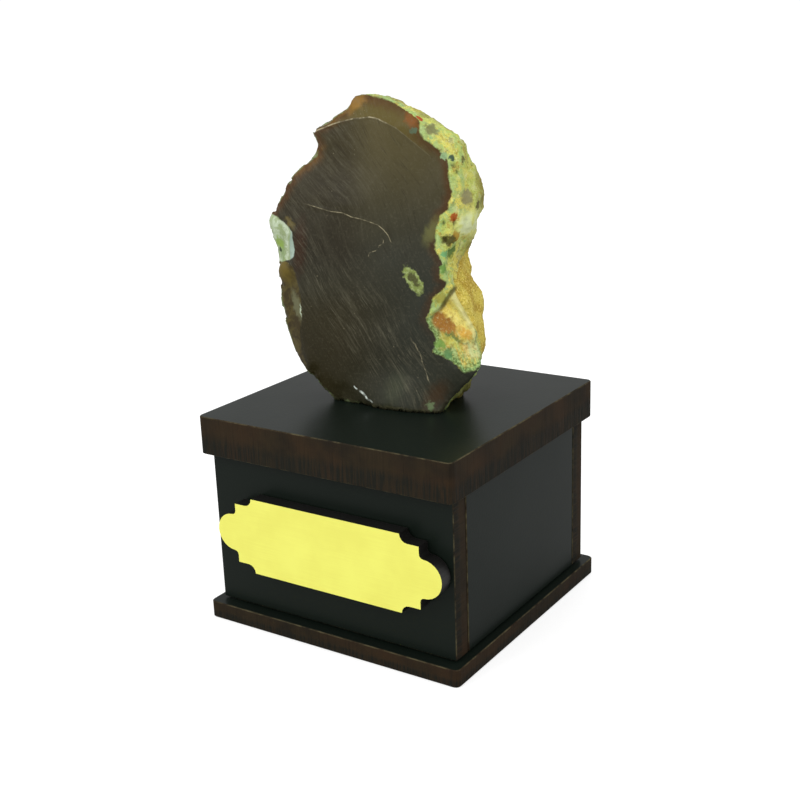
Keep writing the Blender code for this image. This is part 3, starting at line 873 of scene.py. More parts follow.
# %% Place the marks of the stone
SPOTS = {
    "red_jasper_high": ((419.5, 117.5), 0.8, paint(180, 46, 14)),
    "grey_green_eye": ((413, 131), 0.6, paint(88, 108, 84)),
    "grey_patch_high": ((431, 129), 1.35, paint(126, 124, 82)),
    "mint_border": ((443.5, 155), 0.7, paint(150, 182, 132)),
    "blue_green_dot": ((452, 158.5), 0.68, paint(34, 66, 66)),
    "brown_dot_right": ((463, 159.5), 0.66, paint(104, 98, 54)),
    "grey_patch_waist": ((467, 197), 1.5, paint(146, 140, 104)),
    "dark_edge_waist": ((478, 205), 0.9, paint(96, 86, 52)),
    "red_jasper_low": ((454.5, 218), 0.85, paint(176, 66, 18)),
    # Painted shade: the dark hollow and the brown just beside it.
    "shade_beside_hollow": ((457, 236), 0.9, paint(180, 140, 52)),
    "hollow_shade": ((449.5, 240.5), 1.15, paint(60, 50, 18)),
    "mint_knob": ((446, 255), 0.8, paint(116, 180, 120)),
    "green_knob": ((452, 251), 1.3, paint(84, 120, 54)),
    "green_ring": ((444, 270), 0.95, paint(108, 150, 68)),
    "green_lobe": ((440, 298), 1.0, paint(170, 164, 74)),
    "green_foot_left": ((440, 345), 1.0, paint(132, 172, 84)),
    "green_foot_right": ((448, 354), 1.0, paint(96, 140, 86)),
    "pale_foot": ((431, 406), 0.8, paint(104, 122, 84)),
}


def on_stone(pixel):
    """Where on the stone the camera sees a pixel, in the stone's frame."""
    return world_to_stone @ seen_place(pixel)


spot_places = {name: on_stone(pixel) for name, (pixel, _, _) in SPOTS.items()}
print("marks placed:", len(spot_places))

# %% [markdown]
# ### The face
#
# Agate is a translucent stone. Its broken face looks dark in the middle, where it is thick, and amber
# or red-brown where light comes through its thin rim. Real transmission would be slow and hard to
# steer, so the depth is painted. The class below holds what every layer needs: the place on the stone,
# the noises that fray a border, and ways to draw a kept line or an oval patch.

# %% Start the stone's material
BREAK_RUN = math.radians(-57)


class StoneFinish(Finish):
    """The stone's material, with the places and borders that its layers share."""

    def __init__(self, name):
        super().__init__(name)
        spot = self.node("ShaderNodeTexCoord", output="Object")
        self.place = self.node("ShaderNodeMapping", {"vector_type": "TEXTURE"},
                               {"Vector": spot, "Location": stone_foot, "Rotation": stone_turn,
                                "Scale": (MM, MM, MM)})
        self.across, self.back, self.up = self.parts(self.place)
        swirl = self.node("ShaderNodeTexNoise", {}, {"Vector": self.place, "Scale": 1.1, "Detail": 4.0},
                          "Color")
        shake = self.vector_maths("SUBTRACT", swirl, (0.5, 0.5, 0.5))
        self.shaken = self.vector_maths("ADD", self.place,
                                        self.vector_maths("MULTIPLY", shake, (2.0, 2.0, 2.0)))
        self.fray = self.noise(self.place, 0.9, 4.0, 0.65) - 0.5
        self.grain = self.noise(self.place, 0.45, 3.0, 0.65)
        self.rim = self.attribute("rim_reach")
        self.relief = self.attribute("relief")

    def region(self, name, softness=0.12, fray=1.0):
        """1 where a kept distance is above 0, with a frayed border."""
        reach = self.attribute(name) + self.fray * fray
        return self.step(reach, -softness, softness)

    def line(self, name, width, ragged=0.12):
        """1 on a kept line, fading past its ends."""
        offset = self.attribute(f"{name}_reach") + (self.noise(self.place, 0.8, 2.0) - 0.5) * ragged
        core = self.step(abs(offset), width, width * 0.25)
        return core * self.step(self.attribute(f"{name}_ends"), -0.4, 0.6)

    def patch(self, pixel, long, wide, tilt=0.0, soft=0.35):
        """1 inside a frayed oval round the spot that a pixel shows. Its tilt is from level, upwards."""
        offset = self.vector_maths("SUBTRACT", self.shaken, on_stone(pixel))
        x, _, y = self.parts(offset)
        along = (x * math.cos(tilt) + y * math.sin(tilt)) / long
        aside = (y * math.cos(tilt) - x * math.sin(tilt)) / wide
        reach = (along * along + aside * aside) ** 0.5
        return self.step(reach, 1.0 + soft, 1.0 - soft)

    def lay(self, tone, pixel, long, wide, tilt, soft, strength, colour):
        """Lay a patch of colour over a tone. Its tilt is in degrees."""
        return self.mix(self.patch(pixel, long, wide, math.radians(tilt), soft) * strength, tone, colour)


def streaks(finish, width, length, layer):
    """Noise drawn out along the way the break ran."""
    bend = (finish.noise(finish.place, 26.0, 1.0) - 0.5) * 12.0
    wobble = (finish.noise(finish.place, 4.0, 2.0) - 0.5) * 0.5
    run = finish.across * math.cos(BREAK_RUN) + finish.up * math.sin(BREAK_RUN)
    aside = finish.up * math.cos(BREAK_RUN) - finish.across * math.sin(BREAK_RUN) + bend + wobble
    drawn = finish.node("ShaderNodeCombineXYZ", {}, {0: aside / width, 1: run / length, 2: layer})
    return finish.noise(drawn, 1.0, 3.0, 0.6)


print("the break ran", round(math.degrees(BREAK_RUN)), "degrees from level")

# %% [markdown]
# The break left thousands of fine hackle lines that run from the upper left down to the lower right.
# Noise that is drawn out along that way makes them, and a slow bend in it keeps them from looking
# ruled. They are thickest in a belt from the left edge through the middle.

# %% Draw the hackle lines
HACKLE_WIDE = (0.6, 8.0)
HACKLE_FINE = (0.22, 2.6)
HACKLE_SCRATCH = (0.12, 4.0)


def hackle_swath(finish):
    """Where the lines are thick: a belt from the left edge through the middle to the lower right."""
    edge = (finish.noise(finish.place, 7.0, 3.0) - 0.5) * 11.0
    from_belt = abs((finish.up + finish.across * 0.84 - 11.5) * 0.77 + edge)
    belt = finish.step(from_belt, 9.0, 1.5) * finish.step(finish.across, 11.0, 6.0)
    upper_left = finish.step(finish.across, 1.0, -9.0) * finish.step(finish.up, 28.0, 36.0)
    clumps = finish.step(finish.noise(finish.place, 4.0, 3.0), 0.34, 0.62)
    return finish.maths("MAXIMUM", belt * (0.35 + clumps * 0.65), upper_left * 0.55)


def face_lines(finish):
    """Three kinds of line: soft wide streaks, fine ones, and a few bright scratches."""
    swath = hackle_swath(finish)
    wide = finish.step(streaks(finish, *HACKLE_WIDE, 1.7), 0.46, 0.74)
    fine = finish.step(streaks(finish, *HACKLE_FINE, 4.2), 0.48, 0.76)
    scratch = finish.step(streaks(finish, *HACKLE_SCRATCH, 8.8), 0.63, 0.74)
    lines = wide * 0.42 + fine * 0.5 + scratch * 0.75
    return lines * (0.12 + swath * 0.88)


print("widths of the lines in mm:", HACKLE_WIDE[0], HACKLE_FINE[0], HACKLE_SCRATCH[0])

# %% [markdown]
# The colours below are a ramp up the face, from the shadowed foot to the sunny top, with tints laid
# over it: bluish on the right, brown low on the left, an olive band above the top arc, and red-brown
# beside the crust and along the thin left rim. A patch is given by its pixel in the photograph, its two
# half widths in millimetres, its tilt in degrees, the softness of its edge, its strength and its colour.

# %% Paint the broken face
FACE_TONES = [
    (0.03, paint(46, 46, 32)), (0.18, paint(40, 39, 26)), (0.36, paint(49, 49, 38)),
    (0.50, paint(53, 51, 38)), (0.78, paint(76, 69, 42)), (0.95, paint(88, 79, 48)),
]
FACE_HEIGHT = 56.0
FACE_BLUE = paint(42, 47, 40)
FACE_BROWN = paint(42, 35, 8)
FACE_DARK = paint(32, 25, 10)
BAND_OLIVE = paint(92, 80, 34)
AMBER = paint(144, 106, 34)
RUST = paint(128, 76, 22)
RED_BROWN = paint(78, 46, 8)
HALO = paint(104, 104, 58)
DULL_RED = paint(54, 31, 15)
LOBE_OLIVE = paint(108, 94, 44)
MIST = paint(70, 76, 52)
HACKLE = paint(124, 120, 98)
FACE_PATCHES = {
    "beside_chip": ((299, 248), 4.6, 1.3, 84, 0.6, 0.75, DULL_RED),
    "lobe_over_chip": ((290, 223), 1.2, 0.6, -50, 0.5, 0.7, LOBE_OLIVE),
    "halo_by_bulge": ((432, 231), 2.4, 1.1, 62, 0.7, 0.8, HALO),
    "amber_peak": ((356, 103), 1.7, 1.1, 34.4, 0.7, 0.85, AMBER),
    "rust_high": ((412, 120), 1.7, 0.9, -50, 0.6, 0.85, RUST),
    "mist_low": ((395, 389), 2.4, 1.6, 68.8, 0.9, 0.4, MIST),
    "red_brown_low": ((436, 396), 2.6, 1.4, 57.3, 0.8, 0.4, RED_BROWN),
}


def face_colour(finish):
    """The dark agate, from its foot to its top."""
    cloud = finish.noise(finish.place, 6.0, 3.0)
    height = finish.up / FACE_HEIGHT + (finish.noise(finish.place, 13.0, 2.0) - 0.5) * 0.14
    tone = finish.ramp(height, FACE_TONES)
    blue_side = finish.step(finish.across, -10.0, 8.0) * finish.step(finish.up, 42.0, 24.0)
    tone = finish.mix(blue_side * (0.2 + cloud * 0.5), tone, FACE_BLUE)
    low_left = finish.step(finish.across - finish.up * 0.4, 0.0, -16.0)
    low_left = low_left * finish.step(finish.up, 27.0, 15.0)
    tone = finish.mix(low_left * (0.5 + cloud * 0.5), tone, FACE_BROWN)
    upper_left = finish.step(finish.across, -2.0, -10.0) * finish.step(finish.up, 20.0, 28.0)
    tone = finish.mix(upper_left * (0.4 + cloud * 0.5), tone, FACE_DARK)
    tone = finish.lay(tone, *FACE_PATCHES["beside_chip"])
    tone = finish.lay(tone, *FACE_PATCHES["lobe_over_chip"])
    return finish.mix(finish.step(streaks(finish, 0.5, 4.5, 6.1), 0.46, 0.28) * 0.35, tone, FACE_DARK)


def face_borders(finish, tone):
    """The band under the peak, and the colours beside the crust and along the thin rim."""
    above = finish.step(finish.attribute("band_reach") + finish.fray * 0.3, -0.05, 0.2)
    above = above * finish.step(finish.across, 9.0, 2.0)
    tone = finish.mix(above * 0.85, tone, BAND_OLIVE)
    near_top = finish.step(finish.attribute("crust_reach") + finish.fray * 2.0, -2.6, -0.4)
    tone = finish.mix(near_top * above * 0.6, tone, RED_BROWN)
    crust = finish.attribute("crust_reach")
    beside_crust = finish.step(crust + finish.fray * 1.6, -2.0, -0.3) * finish.step(finish.up, 10.0, 20.0)
    redder = 0.42 + finish.step(finish.up, 27.0, 35.0) * 0.28
    tone = finish.mix(beside_crust * (1 - above) * redder, tone, RED_BROWN)
    tone = finish.lay(tone, *FACE_PATCHES["halo_by_bulge"])
    thin = finish.step(finish.rim + finish.fray * 1.6, -2.6, -0.3)
    thin_side = finish.step(finish.across, 2.0, -8.0) * finish.step(finish.up, 24.0, 34.0)
    tone = finish.mix(thin * thin_side * 0.85, tone, RED_BROWN)
    amber_places = finish.step(finish.noise(finish.place, 2.6, 3.0), 0.50, 0.66)
    tone = finish.mix(thin * thin_side * amber_places * 0.25, tone, AMBER)
    tone = finish.lay(tone, *FACE_PATCHES["amber_peak"])
    return finish.lay(tone, *FACE_PATCHES["rust_high"])


print("colours up the face:", len(FACE_TONES))

# %% [markdown]
# Bright hairlines cross the face where the break changed level. Their brightness is partly the pale
# line itself and partly painted highlight along each ledge. Near the foot a chipped edge glints, and
# the glint is painted highlight. In the middle right sits an eye, a ring of the same green as the crust
# round a dark core. Tiny specks of painted highlight glitter where the break left a facet of quartz.

# %% Paint the hairlines, the glints and the eye
HAIRLINE_AND_HIGHLIGHT = paint(176, 166, 132)
GLINT = paint(226, 236, 226)
EYE_RING = paint(128, 142, 74)
EYE_PALE = paint(156, 170, 108)
EYE_CORE = paint(66, 62, 34)
EYE_PLACE = (413, 280)
EYE_CORE_PLACE = (413.5, 279)
EYE_TILT = math.radians(-56)
SMALL_GLINT = ((355.5, 388.5), 0.5, 0.3, -40, 0.4, 0.8, GLINT)
FOOT_LINE = paint(84, 82, 58)


def face_marks(finish, tone, lines):
    """The lines with their painted highlights, the painted glints, and the eye, over the colour of the
    face.
    """
    tone = finish.mix(finish.step(finish.grain, 0.50, 0.72) * 0.10, tone, HACKLE)
    tone = finish.lay(tone, *FACE_PATCHES["mist_low"])
    tone = finish.lay(tone, *FACE_PATCHES["red_brown_low"])
    tone = finish.mix(lines * 0.6, tone, HACKLE)
    broken = finish.step(finish.noise(finish.place, 1.1, 3.0), 0.40, 0.6)
    fading = finish.step(finish.across, 4.0, -3.0) * broken
    # The hairlines are pale lines that also carry painted highlight along their ledges.
    tone = finish.mix(finish.line("band", 0.17) * (0.08 + fading * 0.7), tone, HAIRLINE_AND_HIGHLIGHT)
    tone = finish.mix(finish.line("step", 0.12) * (0.15 + broken * 0.5), tone, HAIRLINE_AND_HIGHLIGHT)
    tone = finish.mix(finish.line("curl", 0.12, 0.4) * broken * 0.5, tone, HAIRLINE_AND_HIGHLIGHT)
    tone = finish.mix(finish.line("scar", 0.16, 0.5) * (0.1 + broken * 0.4), tone, HAIRLINE_AND_HIGHLIGHT)
    # Painted highlight: the glints along the chipped foot, and the glittering specks.
    beads = finish.step(finish.noise(finish.place, 0.9, 2.0), 0.42, 0.54)
    tone = finish.mix(finish.line("glint", 0.26, 0.3) * (0.2 + beads * 0.8), tone, GLINT)
    tone = finish.lay(tone, *SMALL_GLINT)
    specks = finish.step(finish.cells(finish.place, 1.3), 0.11, 0.03) * broken
    tone = finish.mix(specks * hackle_swath(finish) * 0.55, tone, HAIRLINE_AND_HIGHLIGHT)
    foot = finish.step(finish.rim + finish.fray, -0.8, -0.1) * finish.step(finish.up, 4.0, 1.0)
    tone = finish.mix(foot * (0.25 + broken * 0.5), tone, FOOT_LINE)

    front = finish.step(finish.back, 6.0, 4.0)
    ring = finish.mix(finish.step(finish.grain, 0.44, 0.62), EYE_RING, EYE_PALE)
    tone = finish.mix(finish.patch(EYE_PLACE, 2.7, 1.25, EYE_TILT, 0.14) * front, tone, ring)
    core = finish.patch(EYE_CORE_PLACE, 1.55, 0.55, EYE_TILT, 0.3) * front
    return finish.mix(core * 0.85, tone, EYE_CORE)


print("the eye lies", [round(part, 1) for part in on_stone(EYE_PLACE)], "in the stone's frame")

# %% [markdown]
# ### The crust
#
# The crust is weathered and stained: mostly yellow-green and ochre in places. Clouds of noise at several
# sizes mix the colours, and the relief that was kept from the Geometry Nodes tells lump from pit: the
# pits get painted shade and the lumps painted highlight. Next to the face runs a broken fringe of mint
# green.
# Low down, far round the back and towards the outline the crust is darkened to olive and ochre as painted
# shade. Over the waist bulges a swelling, with a pale patch of painted highlight on it. The largest marks
# are set one by one.

# %% Paint the crust
CRUST_GREEN = paint(200, 212, 106)
CRUST_YELLOW = paint(230, 220, 106)
CRUST_PALE = paint(228, 232, 164)
CRUST_OCHRE = paint(178, 140, 54)
CRUST_GREY = paint(140, 138, 98)
CRUST_DARK = paint(80, 74, 38)
CRUST_OLIVE = paint(118, 108, 52)
CRUST_MINT = paint(150, 190, 122)
CRUST_FERN = paint(84, 118, 66)
BULGE_PLACE = (466.5, 226)
# A pale patch painted on the swelling over the waist, as its highlight.
BULGE_HIGHLIGHT = (BULGE_PLACE, 2.8, 1.3, 83, 0.5, 0.8, paint(234, 238, 148))
BULGE_HIGHLIGHT_CORE = (BULGE_PLACE, 1.9, 0.6, 83, 0.6, 0.7, paint(226, 236, 196))


def crust_clouds(finish, reach, wide, middle):
    """Green and yellow clouds, with patches of other colours and with light and dark grains."""
    place = finish.shaken
    small = finish.noise(place, 0.5, 4.0, 0.75)
    tone = finish.mix(finish.step(wide, 0.44, 0.60), CRUST_GREEN, CRUST_YELLOW)
    tone = finish.mix(finish.step(middle, 0.50, 0.66) * 0.8, tone, CRUST_PALE)
    tone = finish.mix(finish.step(middle * 0.6 + wide * 0.4, 0.46, 0.36) * 0.75, tone, CRUST_OCHRE)
    # Painted shade: darker ochre towards the outline, far behind the rim.
    outer_shade = finish.step(reach + (wide - 0.5) * 9.0, 4.5, 9.0)
    tone = finish.mix(outer_shade * 0.55, tone, CRUST_OCHRE)
    grey_places = finish.step(finish.noise(place, 2.6, 3.0, 0.6), 0.58, 0.68)
    tone = finish.mix(grey_places * 0.65, tone, CRUST_GREY)
    mint_places = finish.step(finish.noise(place, 2.1, 3.0, 0.6), 0.60, 0.70)
    tone = finish.mix(mint_places * 0.75, tone, CRUST_MINT)
    tone = finish.mix(finish.step(small, 0.54, 0.66) * 0.45, tone, CRUST_PALE)
    tone = finish.mix(finish.step(small, 0.46, 0.34) * 0.5, tone, CRUST_DARK)
    grains = finish.noise(place, 0.3, 2.0, 0.6)
    tone = finish.mix(finish.step(grains, 0.58, 0.68) * 0.55, tone, CRUST_PALE)
    return finish.mix(finish.step(grains, 0.40, 0.31) * 0.5, tone, CRUST_DARK)


def crust_colour(finish):
    """The crust with its stains, with painted shade at its foot, round the back and in its pits, and
    painted highlight on its lumps.
    """
    reach = finish.attribute("crust_reach")
    wide = finish.noise(finish.shaken, 4.2, 3.0)
    middle = finish.noise(finish.shaken, 1.7, 4.0, 0.65)
    tone = crust_clouds(finish, reach, wide, middle)
    flecks = finish.step(finish.noise(finish.shaken, 0.95, 4.0, 0.7), 0.56, 0.66)
    tone = finish.mix(flecks * finish.step(reach, 1.5, 4.0) * 0.75, tone, CRUST_OCHRE)
    # Painted shade: darker olive far round the back, where the crust turns away from the light.
    turned_shade = finish.step(finish.back + (middle - 0.5) * 5.0, 5.8, 9.2)
    tone = finish.mix(turned_shade * 0.55, tone, CRUST_OLIVE)
    peak = finish.step(finish.up + finish.fray * 3.0, 51.0, 54.0)
    tone = finish.mix(peak * (0.3 + wide * 0.5), tone, CRUST_GREY)
    high = finish.step(finish.up, 43.0, 47.0) * finish.step(reach + finish.fray * 1.5, 1.4, 2.8)
    tone = finish.mix(high * (0.15 + middle * 0.6), tone, CRUST_OLIVE)
    # Painted shade low on the crust, near the board.
    shaded_foot = finish.step(finish.up + finish.fray * 4.0, 9.0, 5.0)
    tone = finish.mix(shaded_foot * (0.35 + wide * 0.5), tone, CRUST_DARK)
    fringe = finish.step(reach + finish.fray * 1.6, 1.8, 0.8) * finish.step(middle, 0.40, 0.52)
    tone = finish.mix(fringe * 0.6, tone, CRUST_MINT)
    # Painted shade in the pits and painted highlight on the lumps, from the kept relief.
    tone = finish.mix(finish.step(finish.relief, -0.12, -0.5) * 0.8, tone, CRUST_DARK)
    tone = finish.mix(finish.step(finish.relief, 0.15, 0.6) * 0.3, tone, CRUST_PALE)
    return finish.lay(finish.lay(tone, *BULGE_HIGHLIGHT), *BULGE_HIGHLIGHT_CORE)


def crust_marks(finish, tone):
    """The marks that are placed one by one, with uneven edges."""
    for name, (_, radius, colour) in SPOTS.items():
        distance = finish.vector_maths("DISTANCE", finish.shaken, spot_places[name], 1)
        uneven = distance + (finish.grain - 0.5) * radius * 0.9
        tone = finish.mix(finish.step(uneven, radius * 1.2, radius * 0.65) * 0.88, tone, colour)
    return tone


print("crust colours from", CRUST_DARK[:3], "to", CRUST_PALE[:3])

# %% [markdown]
# ### The facet and the skin
#
# At the lower right the break cut through the crust at a slant, and its layers show as stripes beside
# the ridge: white, yellow and orange, then a red-brown core in a green fringe. Along the ridge runs a
# broken cream strip of painted highlight. Past the ridge the nodule's outer skin is fine-grained and
# golden brown. The stripes come from noise whose place is the distance to the ridge and the height, so
# they run beside the ridge wherever it bends. Patches laid over them set the core, the seam below it and
# the pale foot.

# %% Paint the facet and the skin
STRIPE_WIDTH = 9.0
FACET_STRIPES = [
    (0.00, paint(216, 210, 130)), (0.12, paint(212, 204, 112)), (0.20, paint(226, 206, 92)),
    (0.38, paint(226, 198, 92)), (0.62, paint(208, 168, 74)), (1.00, paint(172, 166, 78)),
]
FACET_RED = paint(158, 102, 46)
FACET_ORANGE = paint(226, 170, 72)
FACET_YELLOW = paint(252, 236, 132)
FACET_WHITE = paint(226, 224, 158)
RIDGE_HIGHLIGHT = paint(242, 236, 166)
SKIN_GOLD = paint(218, 198, 88)
SKIN_BROWN = paint(192, 162, 62)
SKIN_LIGHT = paint(244, 230, 138)
SKIN_DARK = paint(124, 104, 38)
FACET_CORE = {
    "yellow_middle": ((457, 321), 2.4, 0.8, -50, 0.6, 0.9, FACET_YELLOW),
    "orange_streak": ((466, 334), 1.5, 0.6, -50, 0.5, 0.8, FACET_ORANGE),
    "red_core": ((443, 324), 2.7, 1.35, -48, 0.3, 0.9, FACET_RED),
}
FACET_FOOT = {
    "white_foot": ((472, 350), 1.7, 0.9, -50, 0.35, 0.6, FACET_WHITE),
    "green_under_core": ((451, 341), 1.9, 0.8, -38, 0.6, 0.65, CRUST_GREEN),
    "fern_seam": ((456, 339), 1.9, 0.4, -32, 0.5, 0.8, CRUST_FERN),
    "orange_foot": ((464, 347), 1.2, 0.35, -60, 0.5, 0.4, FACET_ORANGE),
}


def facet_colour(finish):
    """Stripes that run beside the ridge, the red-brown core in its green fringe, and painted highlight
    along the ridge.
    """
    ridge = finish.attribute("skin_reach")
    drawn = finish.node("ShaderNodeCombineXYZ", {}, {0: ridge / 0.5, 1: finish.up / 3.2, 2: 0.0})
    stripe = finish.noise(drawn, 1.0, 3.0, 0.6)
    tone = finish.ramp((stripe - 0.5) * 0.3 + finish.fray * 0.25 - ridge / STRIPE_WIDTH, FACET_STRIPES)
    tone = finish.mix(finish.step(stripe, 0.54, 0.68) * 0.7, tone, FACET_WHITE)
    for patch in FACET_CORE.values():
        tone = finish.lay(tone, *patch)
    green = finish.step(finish.up - finish.across * 0.35, 9.0, 6.5)
    tone = finish.mix(green * finish.step(stripe, 0.40, 0.56) * 0.8, tone, CRUST_MINT)
    tone = finish.mix(green * finish.step(finish.grain, 0.56, 0.36) * 0.6, tone, CRUST_FERN)
    for patch in FACET_FOOT.values():
        tone = finish.lay(tone, *patch)
    tone = finish.mix(finish.step(finish.grain, 0.50, 0.36) * 0.45, tone, CRUST_OCHRE)
    tone = finish.mix(finish.step(finish.grain, 0.54, 0.68) * 0.4, tone, FACET_WHITE)
    # Painted highlight: a broken cream strip along the ridge.
    strip = finish.step(abs(ridge + 0.5 + finish.fray * 0.8), 0.6, 0.1)
    patchy = 0.25 + finish.step(stripe, 0.40, 0.60) * 0.55
    tone = finish.mix(strip * finish.step(finish.up, 9.0, 13.0) * patchy, tone, RIDGE_HIGHLIGHT)
    inner = finish.step(finish.attribute("crust_reach") + finish.fray * 1.4, 1.5, 0.5)
    fringe = finish.mix(finish.step(finish.grain, 0.42, 0.6), CRUST_FERN, CRUST_MINT)
    return finish.mix(inner * 0.85, tone, fringe)


def skin_colour(finish):
    """Golden brown, with light and dark grains."""
    grain = finish.noise(finish.place, 0.32, 3.0, 0.7)
    cloud = finish.noise(finish.place, 2.6, 3.0)
    tone = finish.mix(finish.step(cloud, 0.40, 0.62), SKIN_GOLD, SKIN_BROWN)
    tone = finish.mix(finish.step(grain, 0.52, 0.66) * 0.8, tone, SKIN_LIGHT)
    return finish.mix(finish.step(grain, 0.46, 0.34) * 0.7, tone, SKIN_DARK)


print("stripes on the facet:", len(FACET_STRIPES))

# %% [markdown]
# ### The chip and the low left edge
#
# A flake broke off the left edge and left a glassy, pale green chip with a milky blue strip at its inner
# side; its pale glassy end is painted highlight where it faces the light. Below it smaller flakes left
# brown glossy facets, and on one a streak and a thin bright thread are painted highlight. Here and there
# a thin pale green line of crust shows along the rim.

# %% Paint the left edge
CHIP_GREEN = paint(150, 166, 120)
CHIP_PALE = paint(198, 212, 184)
CHIP_MILK = paint(146, 168, 154)
CHIP_HIGHLIGHT = paint(186, 206, 194)
CHIP_FERN = paint(122, 146, 88)
CHIP_YELLOW = paint(142, 172, 70)
CHIP_DARK = paint(34, 48, 24)
EDGE_BROWN = paint(84, 74, 36)
EDGE_AMBER = paint(108, 92, 34)
EDGE_DARK = paint(58, 48, 22)
EDGE_HIGHLIGHT = paint(108, 108, 78)
RIM_GREEN = paint(132, 150, 104)
CHIP_PATCHES = {
    "highlit_end": ((293, 254), 1.6, 0.5, -80, 0.6, 0.4, CHIP_HIGHLIGHT),
    "green_top": ((272, 221), 1.4, 0.9, -60, 0.6, 0.6, CHIP_GREEN),
    "fern_foot": ((282.5, 250), 2.2, 0.7, -76, 0.6, 0.75, CHIP_FERN),
    "yellow_spot": ((280, 242), 1.3, 0.8, -70, 0.5, 0.75, CHIP_YELLOW),
    "dark_spot": ((280, 249.5), 0.55, 0.4, 0, 0.4, 0.9, CHIP_DARK),
}
STREAK_HIGHLIGHT = (297, 305)
LOW_LEFT_PATCHES = {
    "amber_under_chip": ((285, 269), 2.4, 1.5, -60, 0.7, 0.8, EDGE_AMBER),
    "streak_highlight": (STREAK_HIGHLIGHT, 2.6, 0.8, -70, 0.5, 0.85, EDGE_HIGHLIGHT),
    "thread_highlight": ((301, 311), 1.3, 0.16, -82, 0.5, 0.8, CHIP_PALE),
}


def chip_colour(finish):
    """Pale green glass, with a milky strip beside its inner border."""
    cloud = finish.noise(finish.shaken, 1.6, 4.0, 0.6)
    tone = finish.mix(finish.step(cloud, 0.38, 0.62), CHIP_GREEN, CHIP_PALE)
    milk = finish.region("milk_reach", 0.1, 0.25) * finish.step(finish.up, 31.5, 29.5)
    tone = finish.mix(milk * 0.85, tone, CHIP_MILK)
    # Painted highlight on the chip's glassy end, where it faces the light.
    tone = finish.lay(tone, *CHIP_PATCHES["highlit_end"])
    tone = finish.lay(tone, *CHIP_PATCHES["green_top"])
    tone = finish.mix(finish.step(abs(finish.rim), 0.5, 0.1) * 0.5, tone, CHIP_GREEN)
    tone = finish.lay(tone, *CHIP_PATCHES["fern_foot"])
    seam = finish.step(abs(finish.attribute("milk_reach")), 0.22, 0.05)
    tone = finish.mix(seam * 0.7, tone, CHIP_GREEN)
    tone = finish.lay(tone, *CHIP_PATCHES["yellow_spot"])
    return finish.lay(tone, *CHIP_PATCHES["dark_spot"])


def low_left_colour(finish):
    """Brown flakes, amber under the chip, with a streak and a thread of painted highlight."""
    cloud = finish.noise(finish.shaken, 1.8, 3.0)
    tone = finish.mix(finish.step(cloud, 0.38, 0.62), EDGE_BROWN, EDGE_DARK)
    # The streak and the thread are painted highlight on a glossy facet.
    for patch in LOW_LEFT_PATCHES.values():
        tone = finish.lay(tone, *patch)
    return tone


def rim_line(finish, tone):
    """A thin, broken line of crust along the left rim."""
    line = finish.step(abs(finish.rim - 0.1 + finish.fray * 0.5), 0.6, 0.2)
    left = finish.step(finish.across, -4.0, -9.0)
    broken = finish.step(finish.noise(finish.place, 2.3, 3.0), 0.44, 0.56)
    return finish.mix(line * left * broken * 0.75, tone, RIM_GREEN)


# The streak is painted highlight.
print("milky streak at", [round(part, 1) for part in on_stone(STREAK_HIGHLIGHT)])

# %% [markdown]
# ### All layers together
#
# The layers are laid over each other from the face outwards. Agate is glossy, crust is dull, and
# the chip is nearly glass, so roughness follows the same masks.

# %% Assemble the stone's material
CHIP_ROUGHNESS = 0.22


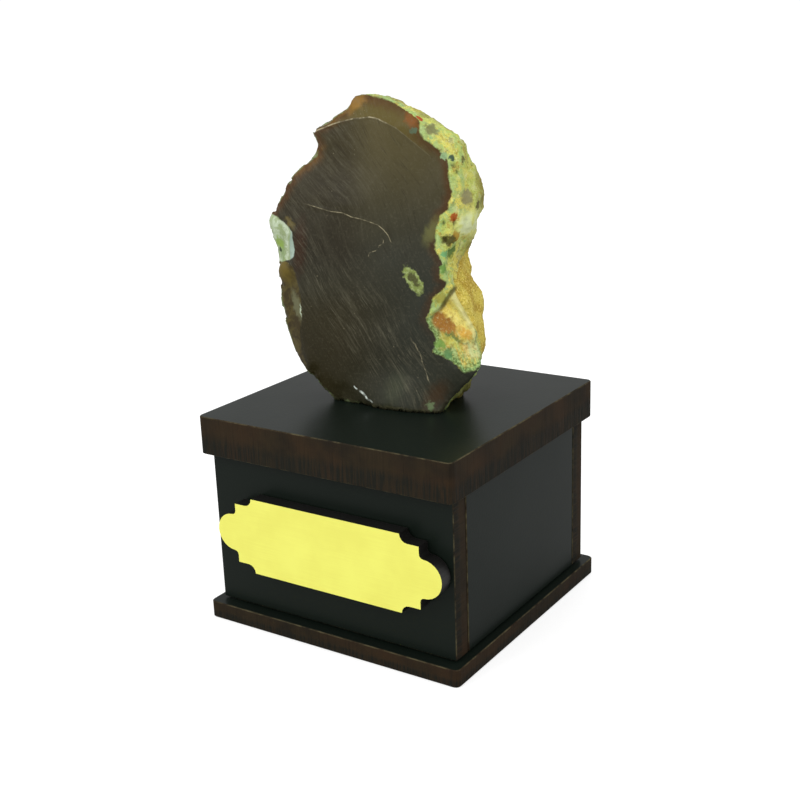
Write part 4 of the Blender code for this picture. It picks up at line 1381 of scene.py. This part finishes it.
def agate_finish():
    """The whole stone in one material."""
    finish = StoneFinish("rough_agate")
    in_crust = finish.region("crust_reach", 0.2, 0.9)
    in_skin = finish.step(finish.attribute("skin_reach") + finish.fray * 0.6, -0.08, 0.12)
    below_crack = finish.step(finish.attribute("crack_reach") + finish.fray * 0.4, -0.1, 0.1)
    in_facet = in_crust * below_crack * finish.step(finish.up, 26.5, 25.0) * (1 - in_skin)
    in_facet = in_facet * finish.step(finish.rim, 1.5, 0.3)
    in_skin = in_skin * in_crust * finish.step(finish.up + finish.fray * 5, 33.0, 27.0)
    in_chip = finish.step(finish.fray * 0.4 - finish.attribute("chip_reach"), -0.05, 0.15)
    in_chip = in_chip * (1 - in_crust)
    in_low_left = finish.step(finish.fray * 0.8 - finish.attribute("low_left_reach"), -0.1, 0.2)
    in_low_left = in_low_left * (1 - in_crust) * (1 - in_chip)

    lines = face_lines(finish)
    tone = face_borders(finish, face_colour(finish))
    tone = face_marks(finish, tone, lines)
    tone = finish.mix(in_low_left, tone, low_left_colour(finish))
    tone = finish.mix(in_chip, tone, chip_colour(finish))
    tone = rim_line(finish, tone)
    crust = finish.mix(in_skin, crust_colour(finish), skin_colour(finish))
    crust = finish.mix(in_facet, crust, facet_colour(finish))
    tone = crust_marks(finish, finish.mix(in_crust, tone, crust))
    # Painted shadow along the crack, where the crust above overhangs the facet.
    crack_shadow = finish.line("crack", 0.65, 0.5) * finish.step(finish.up, 15.5, 19.0)
    tone = finish.mix(crack_shadow * in_crust * 0.85, tone, CRUST_DARK)

    fine = finish.noise(finish.place, 0.2, 3.0, 0.7)
    face_roughness = 0.40 + lines * 0.15 + (finish.noise(finish.place, 3.0, 2.0) - 0.5) * 0.12
    roughness = finish.blend(in_crust, face_roughness, 0.72 + fine * 0.2)
    roughness = finish.blend(in_chip, roughness, CHIP_ROUGHNESS)
    height = in_crust * (finish.grain * 0.9 + fine * 0.5) + (1 - in_crust) * (lines * 0.14 + fine * 0.02)
    finish.wear(Base_Color=tone, Roughness=roughness, Specular_IOR_Level=0.18)
    finish.bump(height, 0.22)
    return finish.material


agate_material = agate_finish()
print("nodes in the stone's material:", len(agate_material.node_tree.nodes))

# %% [markdown]
# ## The finished stone
#
# The relief tree is put on the even mesh as a modifier, its inputs are set, and the result is baked to
# a plain mesh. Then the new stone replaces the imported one.

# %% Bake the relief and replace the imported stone
REST_GAP = 0.03 * MM
FOOT_BAND = 0.42 * MM


def set_input(modifier, name, value):
    """Set one input of a Geometry Nodes modifier by the socket's identifier."""
    for item in modifier.node_group.interface.items_tree:
        if item.item_type == "SOCKET" and item.in_out == "INPUT" and item.name == name:
            modifier[item.identifier] = value


def baked_stone():
    """The stone with its relief, as a plain mesh."""
    raw = bpy.data.objects.new("agate_raw", stone_mesh)
    bpy.context.scene.collection.objects.link(raw)
    modifier = raw.modifiers.new("relief", "NODES")
    modifier.node_group = relief_tree
    for size_name, size in RELIEF_SIZES.items():
        set_input(modifier, size_name, size)
    set_input(modifier, "Finish", agate_material)
    mesh = bpy.data.meshes.new_from_object(raw.evaluated_get(bpy.context.evaluated_depsgraph_get()))
    raw.modifiers.clear()
    bpy.data.objects.remove(raw)
    return mesh


def settle(mesh, top_of_board, peak):
    """Stand the foot on the board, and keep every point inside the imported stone's height."""
    for vertex in mesh.vertices:
        if vertex.co.z < top_of_board + FOOT_BAND:
            vertex.co.z = top_of_board + REST_GAP
        vertex.co.z = min(vertex.co.z, peak)


agate = bpy.data.objects.new("rough_agate_stone", baked_stone())
bpy.context.scene.collection.objects.link(agate)
settle(agate.data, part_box("top_board")[1].z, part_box("agate")[1].z)
agate.data.shade_smooth()
packed_stone.free()
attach(agate, "root")
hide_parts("agate")
print("triangles in the stone:", sum(len(face.vertices) - 2 for face in agate.data.polygons))
